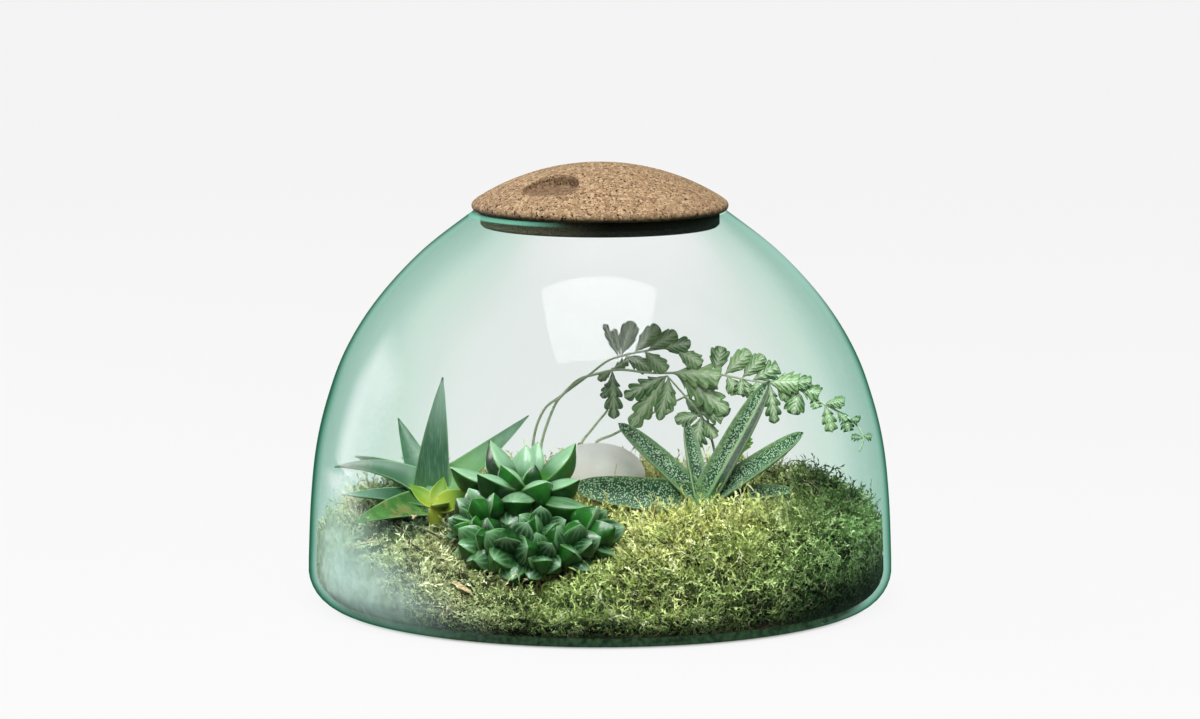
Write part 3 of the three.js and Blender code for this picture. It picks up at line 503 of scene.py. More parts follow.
# Stone. One water-worn pebble of pale grey limestone, bedded in the moss at the back.
stone_centre, stone_radii, stone_turn = (-3, 50, 54.5), (25.5, 19, 16), np.radians(12)
round_profile = arc((0, 0), 1, -88.5, 88.5, 40)
ball = turned(round_profile, 72)
worn = 1 + 0.02 * np.sin(2.3 * ball[..., :1] + 1.1 * ball[..., 2:]) * np.cos(1.9 * ball[..., 1:2])
ball = ball * worn * stone_radii
x, y = ball[..., 0].copy(), ball[..., 1].copy()
ball[..., 0] = x * np.cos(stone_turn) - y * np.sin(stone_turn)
ball[..., 1] = x * np.sin(stone_turn) + y * np.cos(stone_turn)
stone = Growth()
stone.loft(ball + stone_centre)
limestone = Finish("pale_pebble")
cloud, speck = limestone.noise(12, 5.0), limestone.noise(1.1, 4.0)
stone_colour = cloud.rise(0.35, 0.65).mix(tint(252, 242, 236), tint(255, 250, 246))
stone_colour = (speck.rise(0.6, 0.72) * 0.25).mix(stone_colour, tint(168, 166, 156))
stone = stone.piece("pebble", limestone.coat(stone_colour, 0.8, speck + cloud * 2, 0.25))
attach(stone, "root")
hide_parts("stone")


# Aloe. A stemless rosette of smooth strap leaves, thick and channelled above, rounded below,
# grey-green with a faint bloom and paler margins. It stands in the moss at the left.
aloe_root, aloe_stem, aloe_depth = (-83, 5, 47), (9, 8, 14), 4.5  # stem: height, radius, how far sunk
aloe_width = [1.2, 1.1, 0.97, 0.83, 0.67, 0.48, 0.28, 0.05]
aloe_leaves = [
    # azimuth, rise, length, width, bend, way that its top faces, start above the root
    (10, 84, 60, 16.5, 4, (0.2, -1, 0.1), 3), (14, 37, 62, 14.5, -6, (-0.4, -1, 0.5), 5),
    (120, 46, 48, 16, 2, (0.3, -1, 0.4), 4), (176, 12, 52, 14, 44, (0, -0.7, 1), 8),
    (152, 18, 46, 14, 24, (0, -0.6, 1), 7), (206, 6, 47, 13, 12, (0, -0.6, 1), 3),
    (236, -2, 64, 15.5, 14, (0.2, -1, 0.9), 1), (60, 14, 38, 12, 14, (0, 0.2, 1), 3),
]


def heading(azimuth, rise):
    turn, rise = np.radians([azimuth, rise])
    return np.array([np.cos(turn) * np.cos(rise), np.sin(turn) * np.cos(rise), np.sin(rise)])


def arch(root, middle, tip, steps):
    """A leaf's curve from its root by way of a middle point to its tip."""
    t = np.linspace(0, 1, steps)[:, None]
    return root * (1 - t) ** 2 + 2 * middle * t * (1 - t) + tip * t**2


def bent(root, azimuth, rise, length, bend, steps=26):
    """The curve of a leaf that leaves its root at one angle and bends down to its tip."""
    middle = root + heading(azimuth, rise + bend / 2) * length / 2
    return arch(root, middle, middle + heading(azimuth, rise - bend / 2) * length / 2, steps)


def section(top, under, corners=24):
    """Corners across a leaf, closest at its margins: top and under give the height at a share
    of half its width. The last column is 1 on top."""
    angle = np.linspace(0, 2 * np.pi, corners, endpoint=False)
    across, above = np.cos(angle), np.sin(angle) > -0.01
    return np.column_stack([across, np.where(above, top(across), under(across)), above])


def leaf_rings(path, face, widths, depths, corners, ripple=0.0):
    """Rings of a leaf along its path, facing one way, with an optional ripple in mm."""
    along = unit(np.gradient(path, axis=0))
    side = unit(np.cross(along, face))
    out = unit(np.cross(side, along))
    across = side[:, None] * (corners[:, 0] * widths[:, None] / 2)[..., None]
    through = out[:, None] * (corners[:, 1] * depths[:, None] + ripple)[..., None]
    return path[:, None] + across + through


def leaf_tone(number):
    """A tone well apart from those of the leaves before and after."""
    return (number * 0.618) % 1


def one_leaf(tone, number):
    """1 on one leaf of a plant, by its tone, and 0 on the others."""
    return abs(tone - leaf_tone(number)).rise(0.03, 0.01)


def fleshy_plant(root, stem, leaves, outline, depth, corners, round_tip=None):
    """A plant of fleshy leaves, which thin as they narrow, on a short stem."""
    plant = Growth()
    for number, (azimuth, rise, length, width, bend, face, lift) in enumerate(leaves):
        path = bent(np.add(root, (0, 0, lift)), azimuth, rise, length, bend)
        t = np.linspace(0, 1, len(path))
        shares = smooth(outline, t)
        if round_tip:
            shares = shares * np.sqrt(1.004 - t**round_tip)
        depths = depth * (0.35 + 0.65 * shares) * (1 - 0.75 * t**8)
        rings = leaf_rings(path, face, width * shares, depths, corners)
        plant.loft(rings, t, corners[:, 0], corners[:, 2], leaf_tone(number))
    height, radius, sunk = stem
    profile = [(radius * 0.8, -sunk), (radius, 0), (radius, height - radius),
               (radius * 0.7, height - radius / 2), (radius * 0.2, height)]
    plant.loft(turned(profile, 24) + np.array(root))
    return plant


strap = section(lambda u: 0.1 - 0.3 * (1 - u**2), lambda u: 0.1 - 0.9 * np.sqrt(1 - u**2))
aloe = fleshy_plant(aloe_root, aloe_stem, aloe_leaves, aloe_width, aloe_depth, strap)
bloom = Finish("bloomed_leaf")
along, across, tone = bloom.traits("along across tone")
cloud, streak = bloom.noise(9, 4.0), bloom.noise(0.8, 3.0, bloom.stretched(1, 1, 0.12))
front_leaf = one_leaf(tone, 6)
front_green = cloud.rise(0.35, 0.65).mix(tint(44, 84, 26), tint(84, 124, 48))
dried = bloom.noise(4.5).rise(0.52, 0.6) * along.rise(0.15, 0.35) * along.rise(0.85, 0.65)
shaded = bloom.axes()[0].rise(-82, -98) * (1 - front_leaf) * (0.75 - one_leaf(tone, 2) * 0.24)
leaf_colour = layered(
    (cloud * 0.7 + tone * 0.4).rise(0.3, 0.8).mix(tint(54, 94, 70), tint(108, 144, 118)),
    (streak.rise(0.45, 0.7) * 0.3, tint(140, 176, 146)),
    (shaded, tint(20, 58, 34)),
    (front_leaf * 0.9, front_green),
    (along.rise(0.35, 1.0) * tone.rise(0.15, 0.05) * 0.8, tint(156, 182, 166)),
    (front_leaf * dried * 0.5, tint(140, 116, 78)),
    (along.rise(0.3, 0.0) * 0.4, tint(92, 134, 62)),
    (one_leaf(tone, 1) * along.rise(0.85, 0.3) * 0.7, tint(96, 146, 72)),
    (abs(across).rise(0.88, 0.98) * 0.45, tint(156, 194, 136)))
aloe = aloe.piece("aloe_rosette", bloom.coat(leaf_colour, 0.42, streak, 0.08, gloss=0.45))
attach(aloe, "root")
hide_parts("aloe")


# Young shoot. A small yellow-green offset of the aloe, with short broad leaves on a stem of its own.
# It stands in the moss just in front.
shoot_root, shoot_stem, shoot_depth = (-79, -34, 48), (7, 4, 14), 3.2
shoot_width = [0.7, 0.92, 1, 0.9, 0.66, 0.34, 0.04]
shoot_leaves = [  # the same columns as the aloe's
    (-10, 20, 19, 13, -6, (-0.3, -0.9, 0.8), 5), (170, 36, 17, 9, -8, (0.4, -0.9, 0.8), 5),
    (64, 58, 15, 9, 0, (0, -1, 0.4), 5), (-62, 12, 14, 9, 12, (0, -0.3, 1), 5),
]
shoot = fleshy_plant(shoot_root, shoot_stem, shoot_leaves, shoot_width, shoot_depth, strap)
fresh = Finish("young_leaf")
along, across = fresh.traits("along across")
streak = fresh.noise(3)
young = (along + streak * 0.5).rise(0.2, 1.0).mix(tint(142, 150, 34), tint(100, 134, 38))
young = (abs(across).rise(0.82, 0.98) * 0.5).mix(young, tint(184, 198, 120))
shoot = shoot.piece("yellow_shoot", fresh.coat(young, 0.4, streak, 0.1, gloss=0.4))
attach(shoot, "root")
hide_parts("young_shoot")


# Haworthia clump. One tall rosette of glossy keeled leaves, broad and pointed, with its offsets
# crowded round the foot, all grown from one base. The leaf tops are flat, paler windows.
window_depth, window_curl, offset_width = 0.62, 0.12, 0.86
window_width = [0.5, 0.76, 0.95, 1.0, 0.97, 0.8, 0.48, 0.05]
rosette_centre = np.array([-36, -42, 60])
rosette_leaves = [
    # azimuth, rise, distance out, length, width
    (160, 50, 3, 25, 16), (86, 68, 1, 20, 15), (60, 60, 2, 22, 12), (18, 38, 5, 27, 16.5),
    (181, 14, 7, 30, 15.5), (212, 18, 6, 22, 16), (216, 42, 2, 17, 15), (323, 66, 1, 13, 12),
    (305, 17, 3, 16, 16), (256, -8, 4, 20, 16.5), (350, 10, 6, 21, 15.5), (334, -14, 6, 28, 16),
    (352, -20, 6, 28, 13), (250, -32, 5, 23, 16), (132, 22, 4, 26, 16), (96, 12, 4, 27, 16),
    (56, 16, 4, 26, 16),
]
clump_offsets = [
    # centre, azimuth, rise, leaf length, leaves, turn of the first
    ((-56, -55, 48), 212, 52, 15, 7, 40), ((-61, -62, 45), 205, 30, 11, 6, 10),
    ((-53, -74, 38), 222, 26, 15, 7, 60), ((-42, -83, 37), 262, 18, 17, 7, 270),
    ((-29, -84, 34), 282, 24, 13, 7, 90), ((-28, -70, 44), 276, 42, 13, 7, 0),
    ((-15, -79, 38), 302, 30, 15, 7, 130), ((-8, -66, 41), 336, 28, 18, 6, 20),
]
inner_lean, outer_lean, golden_turn = 16, 74, 137.5  # degrees, of an offset's leaves
clump_mounds = [  # middle, radii
    ((-36, -42, 52), (10.5, 10.5, 16)), ((-33, -66, 38), (31, 24, 11)), ((-57, -57, 43), (9, 9, 9))]
keel = section(lambda u: 0.36 * (1 - u**2) ** 0.9, lambda u: -(1 - np.abs(u) ** 1.35) ** 0.85)


def window_leaf(growth, centre, axis, along, out, length, width, tone):
    """A short thick leaf with a flat window above and a keel below, curving in to the axis."""
    root = centre + along * out
    tip = root + along * length + axis * length * window_curl
    path = arch(root, root + along * length * 0.6, tip, 18)
    t = np.linspace(0, 1, len(path))
    shares = smooth(window_width, t)
    depths = width * window_depth * (0.2 + 0.8 * shares) * (1 - 0.7 * t**6)
    growth.loft(leaf_rings(path, axis, width * shares, depths, keel), t, keel[:, 0], keel[:, 2], tone)


def turned_about(vector, axis, angle):
    return vector * np.cos(angle) + np.cross(axis, vector) * np.sin(angle)


clump = Growth()
up = np.array([0.0, 0.0, 1.0])
for number, (azimuth, rise, out, length, width) in enumerate(rosette_leaves):
    window_leaf(clump, rosette_centre, up, heading(azimuth, rise), out, length, width, leaf_tone(number))
for number, (centre, azimuth, rise, size, leaves, first) in enumerate(clump_offsets):
    axis = heading(azimuth, rise)
    level = unit(np.cross(axis, up))
    for leaf in range(leaves):
        lean = np.radians(inner_lean + (outer_lean - inner_lean) * leaf / (leaves - 1))
        radial = turned_about(level, axis, np.radians(first + leaf * golden_turn))
        along = axis * np.cos(lean) + radial * np.sin(lean)
        window_leaf(clump, np.array(centre), axis, along, 1, size, size * offset_width,
                    (leaf_tone(leaf) + number * 0.37) % 1)
for centre, radii in clump_mounds:
    clump.loft(turned(round_profile, 40) * radii + centre)
glossy = Finish("keeled_leaf")
along, across, upper, tone = glossy.traits("along across upper tone")
cloud, high = glossy.noise(5), glossy.axes()[2].rise(54, 66)
stripe = (across * 15 + cloud * 4).wave()
keel_green = layered(
    (cloud * 0.7 + tone * 0.4).rise(0.3, 0.8).mix(tint(5, 40, 6), tint(32, 96, 26)),
    # Painted shade: the leaves are painted near black at their bases, in the gaps low in the clump, and
    # less so up high.
    (along.rise(0.5, 0.1) * (1 - high * 0.8) * 0.85, tint(1, 22, 3)),
    (along.rise(0.4, 0.05) * high * 0.5, tint(96, 140, 56)))
window = layered(
    (cloud * 0.6 + tone * 0.5).rise(0.4, 0.9).mix(tint(13, 52, 16), tint(50, 96, 48)),
    # Painted light: the windows up high are painted paler than those low down.
    (high * along.rise(0.15, 0.6) * 0.8, tint(134, 170, 136)),
    (along.rise(0.7, 1.0) * 0.5, tint(150, 186, 146)),
    (stripe.rise(0.2, 1.0) * along.rise(0.3, 0.6) * 0.16, tint(160, 192, 160)))
dark_leaf = layered(keel_green, (upper.rise(0.3, 0.7) * along.rise(0.12, 0.45), window),
                    (abs(across).rise(0.93, 1.0) * 0.4, tint(140, 186, 112)))
clump = clump.piece("haworthia_rosettes", glossy.coat(dark_leaf, 0.3, cloud, 0.3))
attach(clump, "root")
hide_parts("haworthia_clump")


# Gasteria. A fan of thick tongue leaves with blunt tips, channelled above and keeled below,
# dark green under dense pale speckles, with raised pale margins.
gasteria_root, gasteria_stem, gasteria_depth, blunt = (50, 5, 45), (8, 7, 14), 5.0, 14
tongue_width = [0.9, 1, 1, 0.97, 0.93, 0.84, 0.7, 0.52]
gasteria_leaves = [  # the same columns as the aloe's
    (186, 7, 64, 16.5, 2, (0, -1, 0.35), 4), (166, 41, 56, 12.5, 6, (0.3, -0.7, 0.7), 4),
    (108, 56, 43, 10, 4, (0.6, -0.8, 0.2), 4), (-12, 61, 68, 16, 0, (-0.7, -0.7, 0.3), 4),
    (-16, 35, 62, 14, -4, (-0.4, -0.6, 0.7), 4), (-14, 8, 46, 13, 8, (0, -0.5, 1), 4),
    (62, 24, 38, 12, 12, (0, 0.2, 1), 4),
]
tongue = section(lambda u: 0.15 - 0.36 * (1 - u**2) ** 2 + 0.14 * np.abs(u) ** 8,
                 lambda u: 0.15 - 0.75 * np.sqrt(1 - u**2) - 0.4 * (1 - np.abs(u)) ** 3, 32)
gasteria = fleshy_plant(gasteria_root, gasteria_stem, gasteria_leaves, tongue_width, gasteria_depth,
                        tongue, blunt)
spotted = Finish("speckled_leaf")
along, across, upper, tone = spotted.traits("along across upper tone")
scatter, folded = spotted.noise(0.9), one_leaf(tone, 3)
speckle = (0.6 - spotted.cells(1.15, "Distance") + (scatter - 0.5) * 1.5 + tone * 0.06).rise(0.16, 0.28)
margin = (abs(across) + scatter * 0.5 - 0.25 + spotted.noise(5) * 0.3).rise(0.68, 0.98)
margin_green = (spotted.noise(2.2, 4.0).rise(0.35, 0.7) * 0.6).mix(tint(92, 124, 82), tint(146, 174, 126))
# Undersides are painted a plain dark green without speckles, partly their own colour and partly painted
# shade; the same dark green paints the flank of one folded leaf.
shaded_underside_green = spotted.noise(1.2).rise(0.35, 0.7).mix(tint(24, 48, 34), tint(56, 90, 62))
flank = across * folded
ridge = flank.rise(-0.1, 0.08) * flank.rise(0.34, 0.12) * folded
tongue_colour = layered(
    spotted.noise(9).rise(0.3, 0.7).mix(tint(24, 58, 38), tint(50, 92, 62)),
    (speckle * 0.85, tint(180, 206, 170)),
    (margin * (1 - one_leaf(tone, 0) * 0.75) * 0.85, margin_green),
    (flank.rise(0.02, 0.14), shaded_underside_green),
    (ridge * 0.85, tint(148, 184, 130)),
    (upper.rise(0.6, 0.2) * 0.7, shaded_underside_green),
    (abs(across).rise(0.9, 0.98) * 0.5, tint(168, 196, 146)),
    (along.rise(0.16, 0.0) * 0.5, tint(120, 160, 96)))
gasteria = gasteria.piece("gasteria_fan", spotted.coat(tongue_colour, 0.45, speckle, 0.12, gloss=0.4))
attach(gasteria, "root")
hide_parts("gasteria")


# Fern. Five arching fronds and a sprout, each a thin wiry stalk with soft leaflets, lobed or
# toothed, turned to the front. Each leaflet has a pale midrib and side veins.
fern_face, stalk_width, leaf_spread = np.array([0.1, -0.85, 0.5]), (0.75, 0.45), 1.3
fern_fronds = {
    # places along the stalk, then each leaflet: step of the stalk that it grows from, tip, width, lobes
    "fern_frond_1": (
        [(-34, 66, 52), (-33, 63, 72), (-28, 60, 86), (-20, 58, 93), (-7, 56, 103), (3, 54, 111),
         (10, 52, 114), (21, 48, 117), (35, 44, 119), (46, 39, 116)],
        [(91, 2, 56, 130, 3.6, 2), (93, 7, 53, 128, 3, 2), (94, 16, 50, 132, 7, 0),
         (103, 29, 47, 130, 7, 0), (111, 38, 44, 127, 7, 0), (118, 45, 41, 122, 7, 0),
         (127, 50, 36, 112, 7.5, 0), (96, 26, 45, 108, 6.5, 0), (109, 33, 42, 108, 7, 0)]),
    "fern_frond_2": (
        [(-30, 59, 52), (-29, 58, 70), (-23, 56, 88), (-18, 55, 95), (-11, 53, 102), (-3, 51, 105),
         (9, 47, 108), (23, 44, 107), (33, 42, 107), (49, 38, 108), (60, 36, 107), (78, 32, 104),
         (95, 27, 102), (107, 22, 96), (119, 17, 90), (126, 12, 85), (129, 9, 79), (127, 7, 73)],
        [(156, 69, 28, 98, 6, 2), (162, 77, 26, 100, 6.5, 2), (174, 104, 22, 106, 6, 2),
         (188, 107, 18, 93, 5, 2), (203, 121, 14, 87, 4.5, 2), (213, 127, 11, 88, 4, 2),
         (233, 133, 8, 80, 3.6, 2), (236, 123, 8, 80, 3.2, 2), (120, 60, 30, 107, 11, 3),
         (122, 63, 31, 89, 11, 4), (144, 60, 37, 121, 7.5, 0), (149, 74, 35, 119, 7.5, 0),
         (156, 81, 33, 117, 7, 0), (160, 88, 30, 112, 8.5, 2), (166, 98, 24, 105, 10.5, 2),
         (180, 108, 20, 100, 7.5, 2), (150, 68, 31, 98, 6.5, 0), (155, 75, 30, 97, 6, 0),
         (167, 86, 25, 84, 6.5, 3), (170, 94, 25, 96, 6, 0), (180, 95, 22, 89, 8, 0),
         (196, 114, 16, 81, 6, 2), (196, 120, 15, 97, 5.5, 0), (208, 122, 13, 82, 5.5, 2)]),
    "fern_frond_3": (
        [(-12, 72, 50), (-10, 71, 66), (-4, 69, 75), (-1, 68, 79), (4, 66, 86), (6, 64, 96),
         (6, 62, 107)],
        [(95, 7, 56, 82, 7.5, 3), (95, -1, 60, 101, 3.8, 0), (88, 1, 59, 92, 3.8, 2),
         (95, 14, 58, 111, 4.4, 2)]),
    "fern_frond_4": (
        [(-5, 79, 50), (-3, 76, 66), (7, 73, 72), (21, 68, 80), (25, 66, 83), (35, 61, 89),
         (44, 57, 94), (50, 53, 98)],
        [(99, 64, 46, 86, 8.5, 3), (91, 52, 52, 85, 6, 0), (105, 58, 49, 101, 6.5, 2)]),
    "fern_frond_5": (
        [(58, 46, 52), (57, 44, 66), (54, 40, 78), (49, 36, 88), (40, 33, 99), (33, 32, 107)],
        [(83, 12, 26, 97, 8, 3), (83, 15, 24, 82, 8.5, 3), (78, 29, 23, 86, 6, 0),
         (81, 33, 25, 89, 7, 0), (48, 37, 30, 85, 6, 0), (47, 47, 29, 72, 9, 3),
         (45, 57, 31, 76, 5.5, 0), (50, 61, 31, 86, 6.5, 2)]),
    "fern_sprout": (
        [(72, 40, 52), (71, 38, 60), (70, 37, 68)],
        [(27, 64, 37, 68, 5.4, 2), (23, 78, 36, 64, 5.4, 2), (37, 73, 36, 76, 5.4, 2)]),
}
blade = section(lambda u: 0.25 * (1 - u**4), lambda u: -0.25 * (1 - u**4), 20)


def leaflet(growth, root, tip, width, lobes, tone):
    """A thin leaflet with a folded rib and rounded lobes that point forward, crinkled between."""
    tip = np.array(tip, float)
    width = width * leaf_spread
    length = np.linalg.norm(tip - root)
    middle = (root + tip) / 2 + fern_face * length * 0.12
    path = arch(root, middle, tip, 52)
    t = np.linspace(0, 1, len(path))
    shares = smooth([0.1, 0.5, 0.92, 1, 1, 0.86, 0.5], t) * np.sqrt(1.003 - t**10)
    count, notch = (lobes + 1.7, 0.55) if lobes else (3.3, 0.2)
    wave = np.abs(np.sin(np.pi * (t**0.85) * count + 0.3 + tone)) ** 0.6
    shares = shares * (1 - notch + notch * wave)
    fold = -0.16 * width * np.abs(blade[:, 0]) ** 1.4 * shares[:, None]
    crinkle = 0.6 * np.sin(2 * np.pi * t * count + tone * 9)[:, None] * blade[:, 0] ** 2
    crinkle = crinkle * np.minimum(1, 4 * t)[:, None]
    rings = leaf_rings(path, fern_face, width * shares, 0 * t + 1, blade, fold + crinkle)
    forward = unit(np.gradient(path, axis=0))[:, None] * (blade[:, 0] ** 2)[:, None]
    rings = rings + forward * (0.22 * width * wave * np.minimum(1, 5 * (1 - t)))[:, None, None]
    growth.loft(rings, t, blade[:, 0], blade[:, 2], tone)


def fern_finish(name, dark, light, rib):
    finish = Finish(name)
    along, across, tone = finish.traits("along across tone")
    cloud, midrib = finish.noise(3, 5.0), abs(across).rise(0.12, 0.03)
    vein = (along * 38 - abs(across) * 11 + cloud * 7).wave()
    colour = layered(
        (cloud * 0.8 + tone * 0.3).rise(0.3, 0.8).mix(dark, light),
        (vein.rise(0.1, 0.9) * abs(across).rise(1.0, 0.3) * 0.5, rib),
        ((abs(across) + cloud * 0.5 - 0.25).rise(0.5, 0.05) * 0.5, rib),
        (midrib * 0.5, rib))
    return finish.coat(colour, 0.55, vein * 0.5 - midrib, 0.25, gloss=0.35)


fern_leaf = fern_finish("fern_leaf", tint(70, 106, 62), tint(126, 156, 102), tint(204, 216, 186))
sprout_leaf = fern_finish("fern_sprout_leaf", tint(84, 146, 44), tint(150, 196, 76), tint(190, 220, 130))
round_stalk = section(lambda u: np.sqrt(1 - u**2), lambda u: -np.sqrt(1 - u**2), 10)
for node, (places, leaflets) in fern_fronds.items():
    frond = Growth()
    t = np.linspace(0, 1, 14 * len(places))
    stalk = smooth(places, t)
    thick = stalk_width[0] + (stalk_width[1] - stalk_width[0]) * t
    frond.loft(leaf_rings(stalk, fern_face, 2 * thick, thick, round_stalk), 0.0, 0.12)
    for number, (step, *tip, width, lobes) in enumerate(leaflets):
        leaflet(frond, stalk[step], tip, width, lobes, leaf_tone(number))
    frond = frond.piece(node + "_leaves", sprout_leaf if node == "fern_sprout" else fern_leaf)
    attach(frond, "root")
    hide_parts(node)


# Litter. Three short dead twigs and two dry leaf scraps that lie half sunk in the moss. Their
# own solids are kept, with bark and dry leaf finishes. Finer straws and crumbs lie among them.
straws = [
    # ends, how far it bows
    ((-9, -60, 39), (8, -67, 32), 2.5), ((-2, -63, 38), (5, -60, 40), 1),
    ((26, -84, 30), (40, -78, 33), 2), ((52, -70, 38), (61, -82, 31), 1.5),
    ((84, -60, 38), (97, -54, 37), 2), ((90, -70, 30), (104, -56, 31), -1.5),
    ((-84, -62, 45), (-76, -70, 42), 1), ((-60, -92, 27), (-46, -97, 24), 1.5),
    ((-98, -44, 44), (-92, -56, 40), 1), ((10, -100, 22), (24, -104, 20), 1),
    ((70, 8, 64), (84, 2, 63), 2), ((98, 0, 60), (108, -12, 55), 1.5),
]
crumbs = [
    # place, heading, size
    ((-67, -78, 34), 30, 7), ((-44, -95, 27), 160, 6), ((-36, -97, 26), 60, 5),
    ((-33, -112, 15), 10, 8), ((-1, -64, 37), 340, 6), ((12, -69, 32), 45, 5),
    ((-90, -40, 47), 80, 6), ((-75, -70, 38), 200, 5),
]
straw_width, straw_depth, crumb_depth = 1.1, 0.5, 0.6
bark = Finish("dead_twig")
ridge = bark.noise(0.8, 4.0)
dead_bark = bark.coat(ridge.rise(0.3, 0.7).mix(tint(40, 30, 24), tint(96, 78, 62)), 0.9, ridge, 0.3)
dry = Finish("dry_leaf")
crease = dry.noise(1.6, 4.0)
mottled = crease.rise(0.3, 0.7)
scrap_colour = mottled.mix(tint(146, 112, 78), tint(206, 184, 148))
straw_colour = mottled.mix(tint(44, 36, 26), tint(92, 84, 60))
dry_leaf = dry.coat(dry.traits("tone")[0].mix(scrap_colour, straw_colour), 0.8, crease, 0.4)
dress(dead_bark, "twig_1", "twig_2", "twig_3")
dress(dry_leaf, "dry_leaf_1", "dry_leaf_2")
loose = Growth()
for start, end, bow in straws:
    start, end = np.array([start, end], float)
    line = arch(start, (start + end) / 2 + (bow, 0, abs(bow)), end, 12)
    even = np.ones(len(line))
    loose.loft(leaf_rings(line, up, straw_width * even, straw_depth * even, round_stalk), tone=1)
for place, azimuth, size in crumbs:
    line = bent(np.array(place, float), azimuth, 10, size, 50, 16)
    t = np.linspace(0, 1, len(line))
    width = size * 0.5 * smooth([0.3, 0.8, 1, 0.7, 0.2], t) * (0.8 + 0.2 * np.sin(17 * t + size))
    ripple = 0.4 * np.sin(9 * t)[:, None] * blade[:, 0]
    loose.loft(leaf_rings(line, up, width, 0 * t + crumb_depth, blade, ripple), tone=0.2)
loose = loose.piece("loose_litter", dry_leaf)
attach(loose, "root")


# Cork lid. Pressed cork grain turned to a shallow dome with a rounded edge and a plug that sits
# in the neck. A finger scoop is milled into the dome off centre.
lid_radius, lid_top, dome_radius, lid_edge = 62.4, 215.5, 112.0, 2.6
plug_radius, plug_bottom, lid_seat = 58.1, 185.0, 192.3
scoop_place, scoop_radius, scoop_lean = (-24, -35, 204.2), 14.5, 6


def body_of(name, rings):
    """A plain closed body in the scene, to be cut or to cut with."""
    growth = Growth()
    growth.loft(rings)
    return growth.piece(name, None)


edge_line = arc((lid_radius - lid_edge, lid_seat + lid_edge), lid_edge, -90, 46, 10)
dome_line = arc((0, lid_top - dome_radius), dome_radius, 57.8, 89, 40)
plug_line = [(hub, plug_bottom), (plug_radius - 1, plug_bottom), (plug_radius, plug_bottom + 1),
             (plug_radius, lid_seat)]
lid = body_of("cork_cap", turned(np.vstack([plug_line, edge_line, dome_line])))
cutter_line = [(hub, 0), (scoop_radius - 1.6, 0), (scoop_radius - 0.5, 0.5), (scoop_radius, 1.6),
               (scoop_radius, 20)]
cutter = body_of("scoop_cutter", turned(cutter_line, 64))
cutter.location = np.divide(scoop_place, 1000)
cutter.rotation_euler = np.radians([scoop_lean, -scoop_lean, 0])
cut = lid.modifiers.new("scoop", "BOOLEAN")
cut.object, cut.solver = cutter, "EXACT"
soften = lid.modifiers.new("worn_edge", "BEVEL")
soften.width, soften.segments = 0.0006, 2
soften.limit_method, soften.angle_limit = "ANGLE", np.radians(38)
bpy.context.view_layer.update()
carved = bpy.data.meshes.new_from_object(lid.evaluated_get(bpy.context.evaluated_depsgraph_get()))
lid.modifiers.clear()
lid.data = carved
bpy.data.objects.remove(cutter)
carved.shade_smooth()
carved.set_sharp_from_angle(angle=np.radians(45))

cork = Finish("pressed_cork")
stirred = cork.node("TexNoise", {}, {"Vector": cork.place, "Scale": 0.9, "Detail": 2.0}, "Color")
grain_place = cork.node("Mix", {"data_type": "VECTOR"}, {0: 0.12, 4: cork.place, 5: stirred}, 1)
grain, fleck = cork.cells(0.72, "Color", grain_place), cork.cells(1.2, "Color", grain_place)
grain_gap = cork.cells(0.72, "Distance", grain_place, feature="DISTANCE_TO_EDGE")
fine, bark_bit = cork.noise(0.7, 5.0), fleck.rise(0.78, 0.81)
x, y, z = cork.axes()
out_squared = x * x + y * y
milled = (dome_radius**2 - out_squared) ** 0.5 - z + (lid_top - dome_radius)
# Painted shade on the plug in the neck: near black, lighter with specks towards the left, where the light
# comes from.
plug_shade_colour = (x.rise(5, -50) * fine.rise(0.2, 0.6)).mix(tint(8, 9, 5), tint(130, 122, 98))
cork_colour = layered(
    grain.rise(0.25, 0.8).mix(tint(112, 86, 60), tint(154, 130, 100)),
    (fine.rise(0.35, 0.7) * 0.5, tint(172, 148, 116)),
    (grain_gap.rise(0.06, 0.0) * 0.5, tint(94, 68, 44)),
    (bark_bit * 0.75, tint(92, 60, 36)),
    (fleck.rise(0.27, 0.24) * cork.noise(1.6).rise(0.47, 0.53), tint(30, 18, 11)),
    # Painted shade inside the finger scoop, darker brown where it sinks below the dome.
    (milled.rise(0.3, 2.0) * out_squared.rise(53**2, 50**2) * 0.5, tint(58, 34, 20)),
    # Painted shade under the rounded edge of the dome.
    (z.rise(lid_seat + 2.2, lid_seat + 0.7) * 0.8, tint(40, 28, 16)),
    (z.rise(lid_seat + 0.4, lid_seat - 0.4) * 0.95, plug_shade_colour))
cork_relief = grain_gap.rise(0.0, 0.12) + fine * 0.5 - bark_bit * 0.5
carved.materials.clear()
carved.materials.append(cork.coat(cork_colour, 0.85, cork_relief, 0.25, gloss=0.25))
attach(lid, "root")
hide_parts("cork_lid")


# Studio. A pale floor that runs past the view on every side, with a painted shadow right under the
# vessel, mottled mossy green as a painted reflection of the moss. Soft boxes light from above, from in
# front and from both sides, and the air lights evenly all round. Mirrored, the studio is dim but for a
# window above, a lamp at the left and a pool of light painted on the floor below it.
reach, under, top = 30000, -60, -0.3
floor = body_of("studio_floor", turned([(hub, under), (reach, under), (reach, top), (hub, top)], 96))
pale_wall, matte_wall, mirrored_wall = tint(246, 246, 246), (0.26, 0.26, 0.26, 1), (0.1, 0.18, 0.14, 1)
painted_pool_colour, painted_pool_lean = (8, 6, 7, 1), 0.53


def lit_once(finish, mirrored_colour=mirrored_wall):
    """The pale of the studio, dimmer where it is only mirrored or lights something matte."""
    mirrored, matte = (finish.node("LightPath", {}, {}, depth).rise(0.0, 1.0) for depth in
                       ["Glossy Depth", "Diffuse Depth"])
    return matte.mix(mirrored.mix(pale_wall, mirrored_colour), matte_wall)


ground = Finish("pale_floor")
x, y, z = ground.axes()
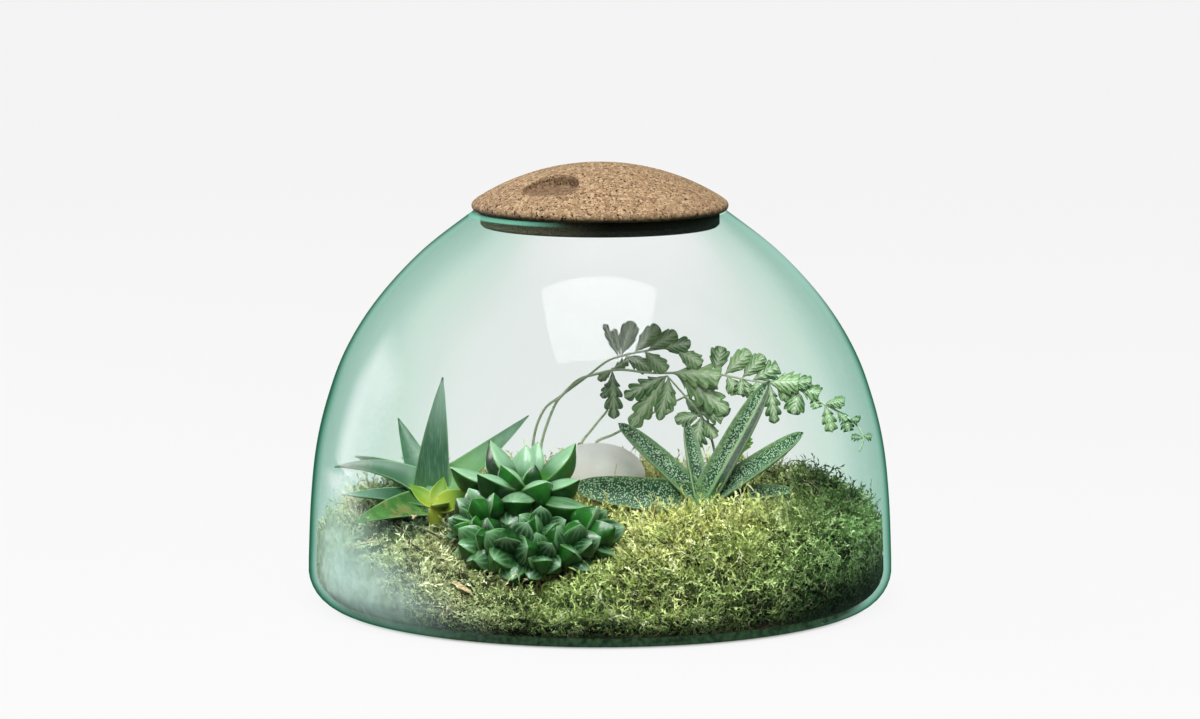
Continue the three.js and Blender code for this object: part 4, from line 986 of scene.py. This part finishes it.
# Painted shadow under the vessel, mottled mossy green as a painted reflection of the moss, lighter teal
# to the left.
mottle = ground.noise(2.5, 4.0, ground.stretched(1, 0.15, 1))
painted_moss_reflection = mottle.rise(0.3, 0.7).mix(tint(44, 54, 40), tint(96, 106, 80))
painted_moss_reflection = x.rise(-55, -115).mix(painted_moss_reflection, tint(108, 156, 136))
# Painted light: a pool of light painted on the floor at the left, seen only in mirrored rays.
painted_light_pool = x.rise(-450, -1000) * abs(y + x * painted_pool_lean).rise(480, 100)
painted_shadow_disc = ((x * x + y * y) ** 0.5).rise(132, 122)
floor_colour = painted_shadow_disc.mix(lit_once(ground, painted_light_pool.mix(mirrored_wall, painted_pool_colour)), painted_moss_reflection)
floor_glow = ground.node("Emission", {}, {"Color": floor_colour, "Strength": 1.0})
floor_matte = ground.node("BsdfDiffuse", {}, {"Color": pale_wall})
floor.data.materials.clear()
floor.data.materials.append(ground.close("Material", Surface=ground.over(0.03, floor_glow, floor_matte)))


def soft_light(name, place, aim, size, power, soften, lights=True, mirrored=False, colour=colourless):
    """A soft box, in metres, that isn't seen itself. It fades over a share of its width at the left
    and right, and then of its height below and above."""
    light = bpy.data.lights.new(name, "AREA")
    light.shape, light.energy = "RECTANGLE", power
    light.size, light.size_y = size
    lamp = bpy.data.objects.new(name, light)
    lamp.location = place
    lamp.rotation_euler = (Vector(aim) - Vector(place)).to_track_quat("-Z", "Y").to_euler()
    lamp.visible_camera = lamp.visible_transmission = False
    lamp.visible_diffuse, lamp.visible_glossy = lights, mirrored
    bpy.context.scene.collection.objects.link(lamp)
    box = Finish(name, light)
    spread = box.node("NewGeometry", {}, {}, "Parametric")
    u, v = (box.node("SeparateXYZ", {}, {0: spread}, axis) for axis in range(2))
    glow = 1.0
    for side, (first, last) in zip([u, v], soften):
        glow = side.rise(0.0, first) * side.rise(1.0, 1.0 - last) * glow
    shine = box.node("Emission", {}, {"Color": glow.mix((0, 0, 0, 1), colour), "Strength": 1.0})
    box.close("Light", Surface=shine)


soft_light("key_softbox", (-0.01, -0.63, 1.5), (-0.01, -0.63, 0), (1, 0.95), 49,
           [(0.04, 0.04), (0.04, 0.04)], mirrored=True)
soft_light("left_softbox", (-1.32, 0.95, 0.66), (0, 0, 0.2), (0.95, 1.25), 40, [(0.3, 0.3), (0.05, 0.3)])
soft_light("left_shine", (-1.45, 0.66, 0.45), (0, 0, 0.1), (1.15, 0.85), 35,
           [(0.4, 0.4), (0.02, 0.3)], lights=False, mirrored=True, colour=(1, 0.77, 0.87, 1))
soft_light("front_softbox", (0, -2.1, 1.7), (0, 0, 0.08), (1.6, 1), 54, [(0.2, 0.2), (0.2, 0.2)])
soft_light("right_softbox", (1.45, 0.75, 0.66), (0, 0, 0.2), (0.95, 1.25), 12, [(0.4, 0.4), (0.05, 0.3)])
world = bpy.data.worlds.new("studio_air")
air = Finish("studio_air", world)
air.close("World", Surface=air.node("Background", {}, {"Color": lit_once(air), "Strength": 1.0}))
bpy.context.scene.world = world
bpy.context.scene.view_settings.view_transform = "Standard"

# Camera. A long lens in front of the vessel, looking slightly down at it, with sizes in metres.
pitch, distance, aim_height = np.radians(7.4), 2.7, 0.1192
view = bpy.data.cameras.new("front_view")
view.lens, view.sensor_width, view.clip_end = 166.3, 36.0, 200.0
camera = bpy.data.objects.new("front_view", view)
camera.location = (0, -distance * np.cos(pitch), aim_height + distance * np.sin(pitch))
camera.rotation_euler = (np.pi / 2 - pitch, 0, 0)
bpy.context.scene.collection.objects.link(camera)
bpy.context.scene.camera = camera
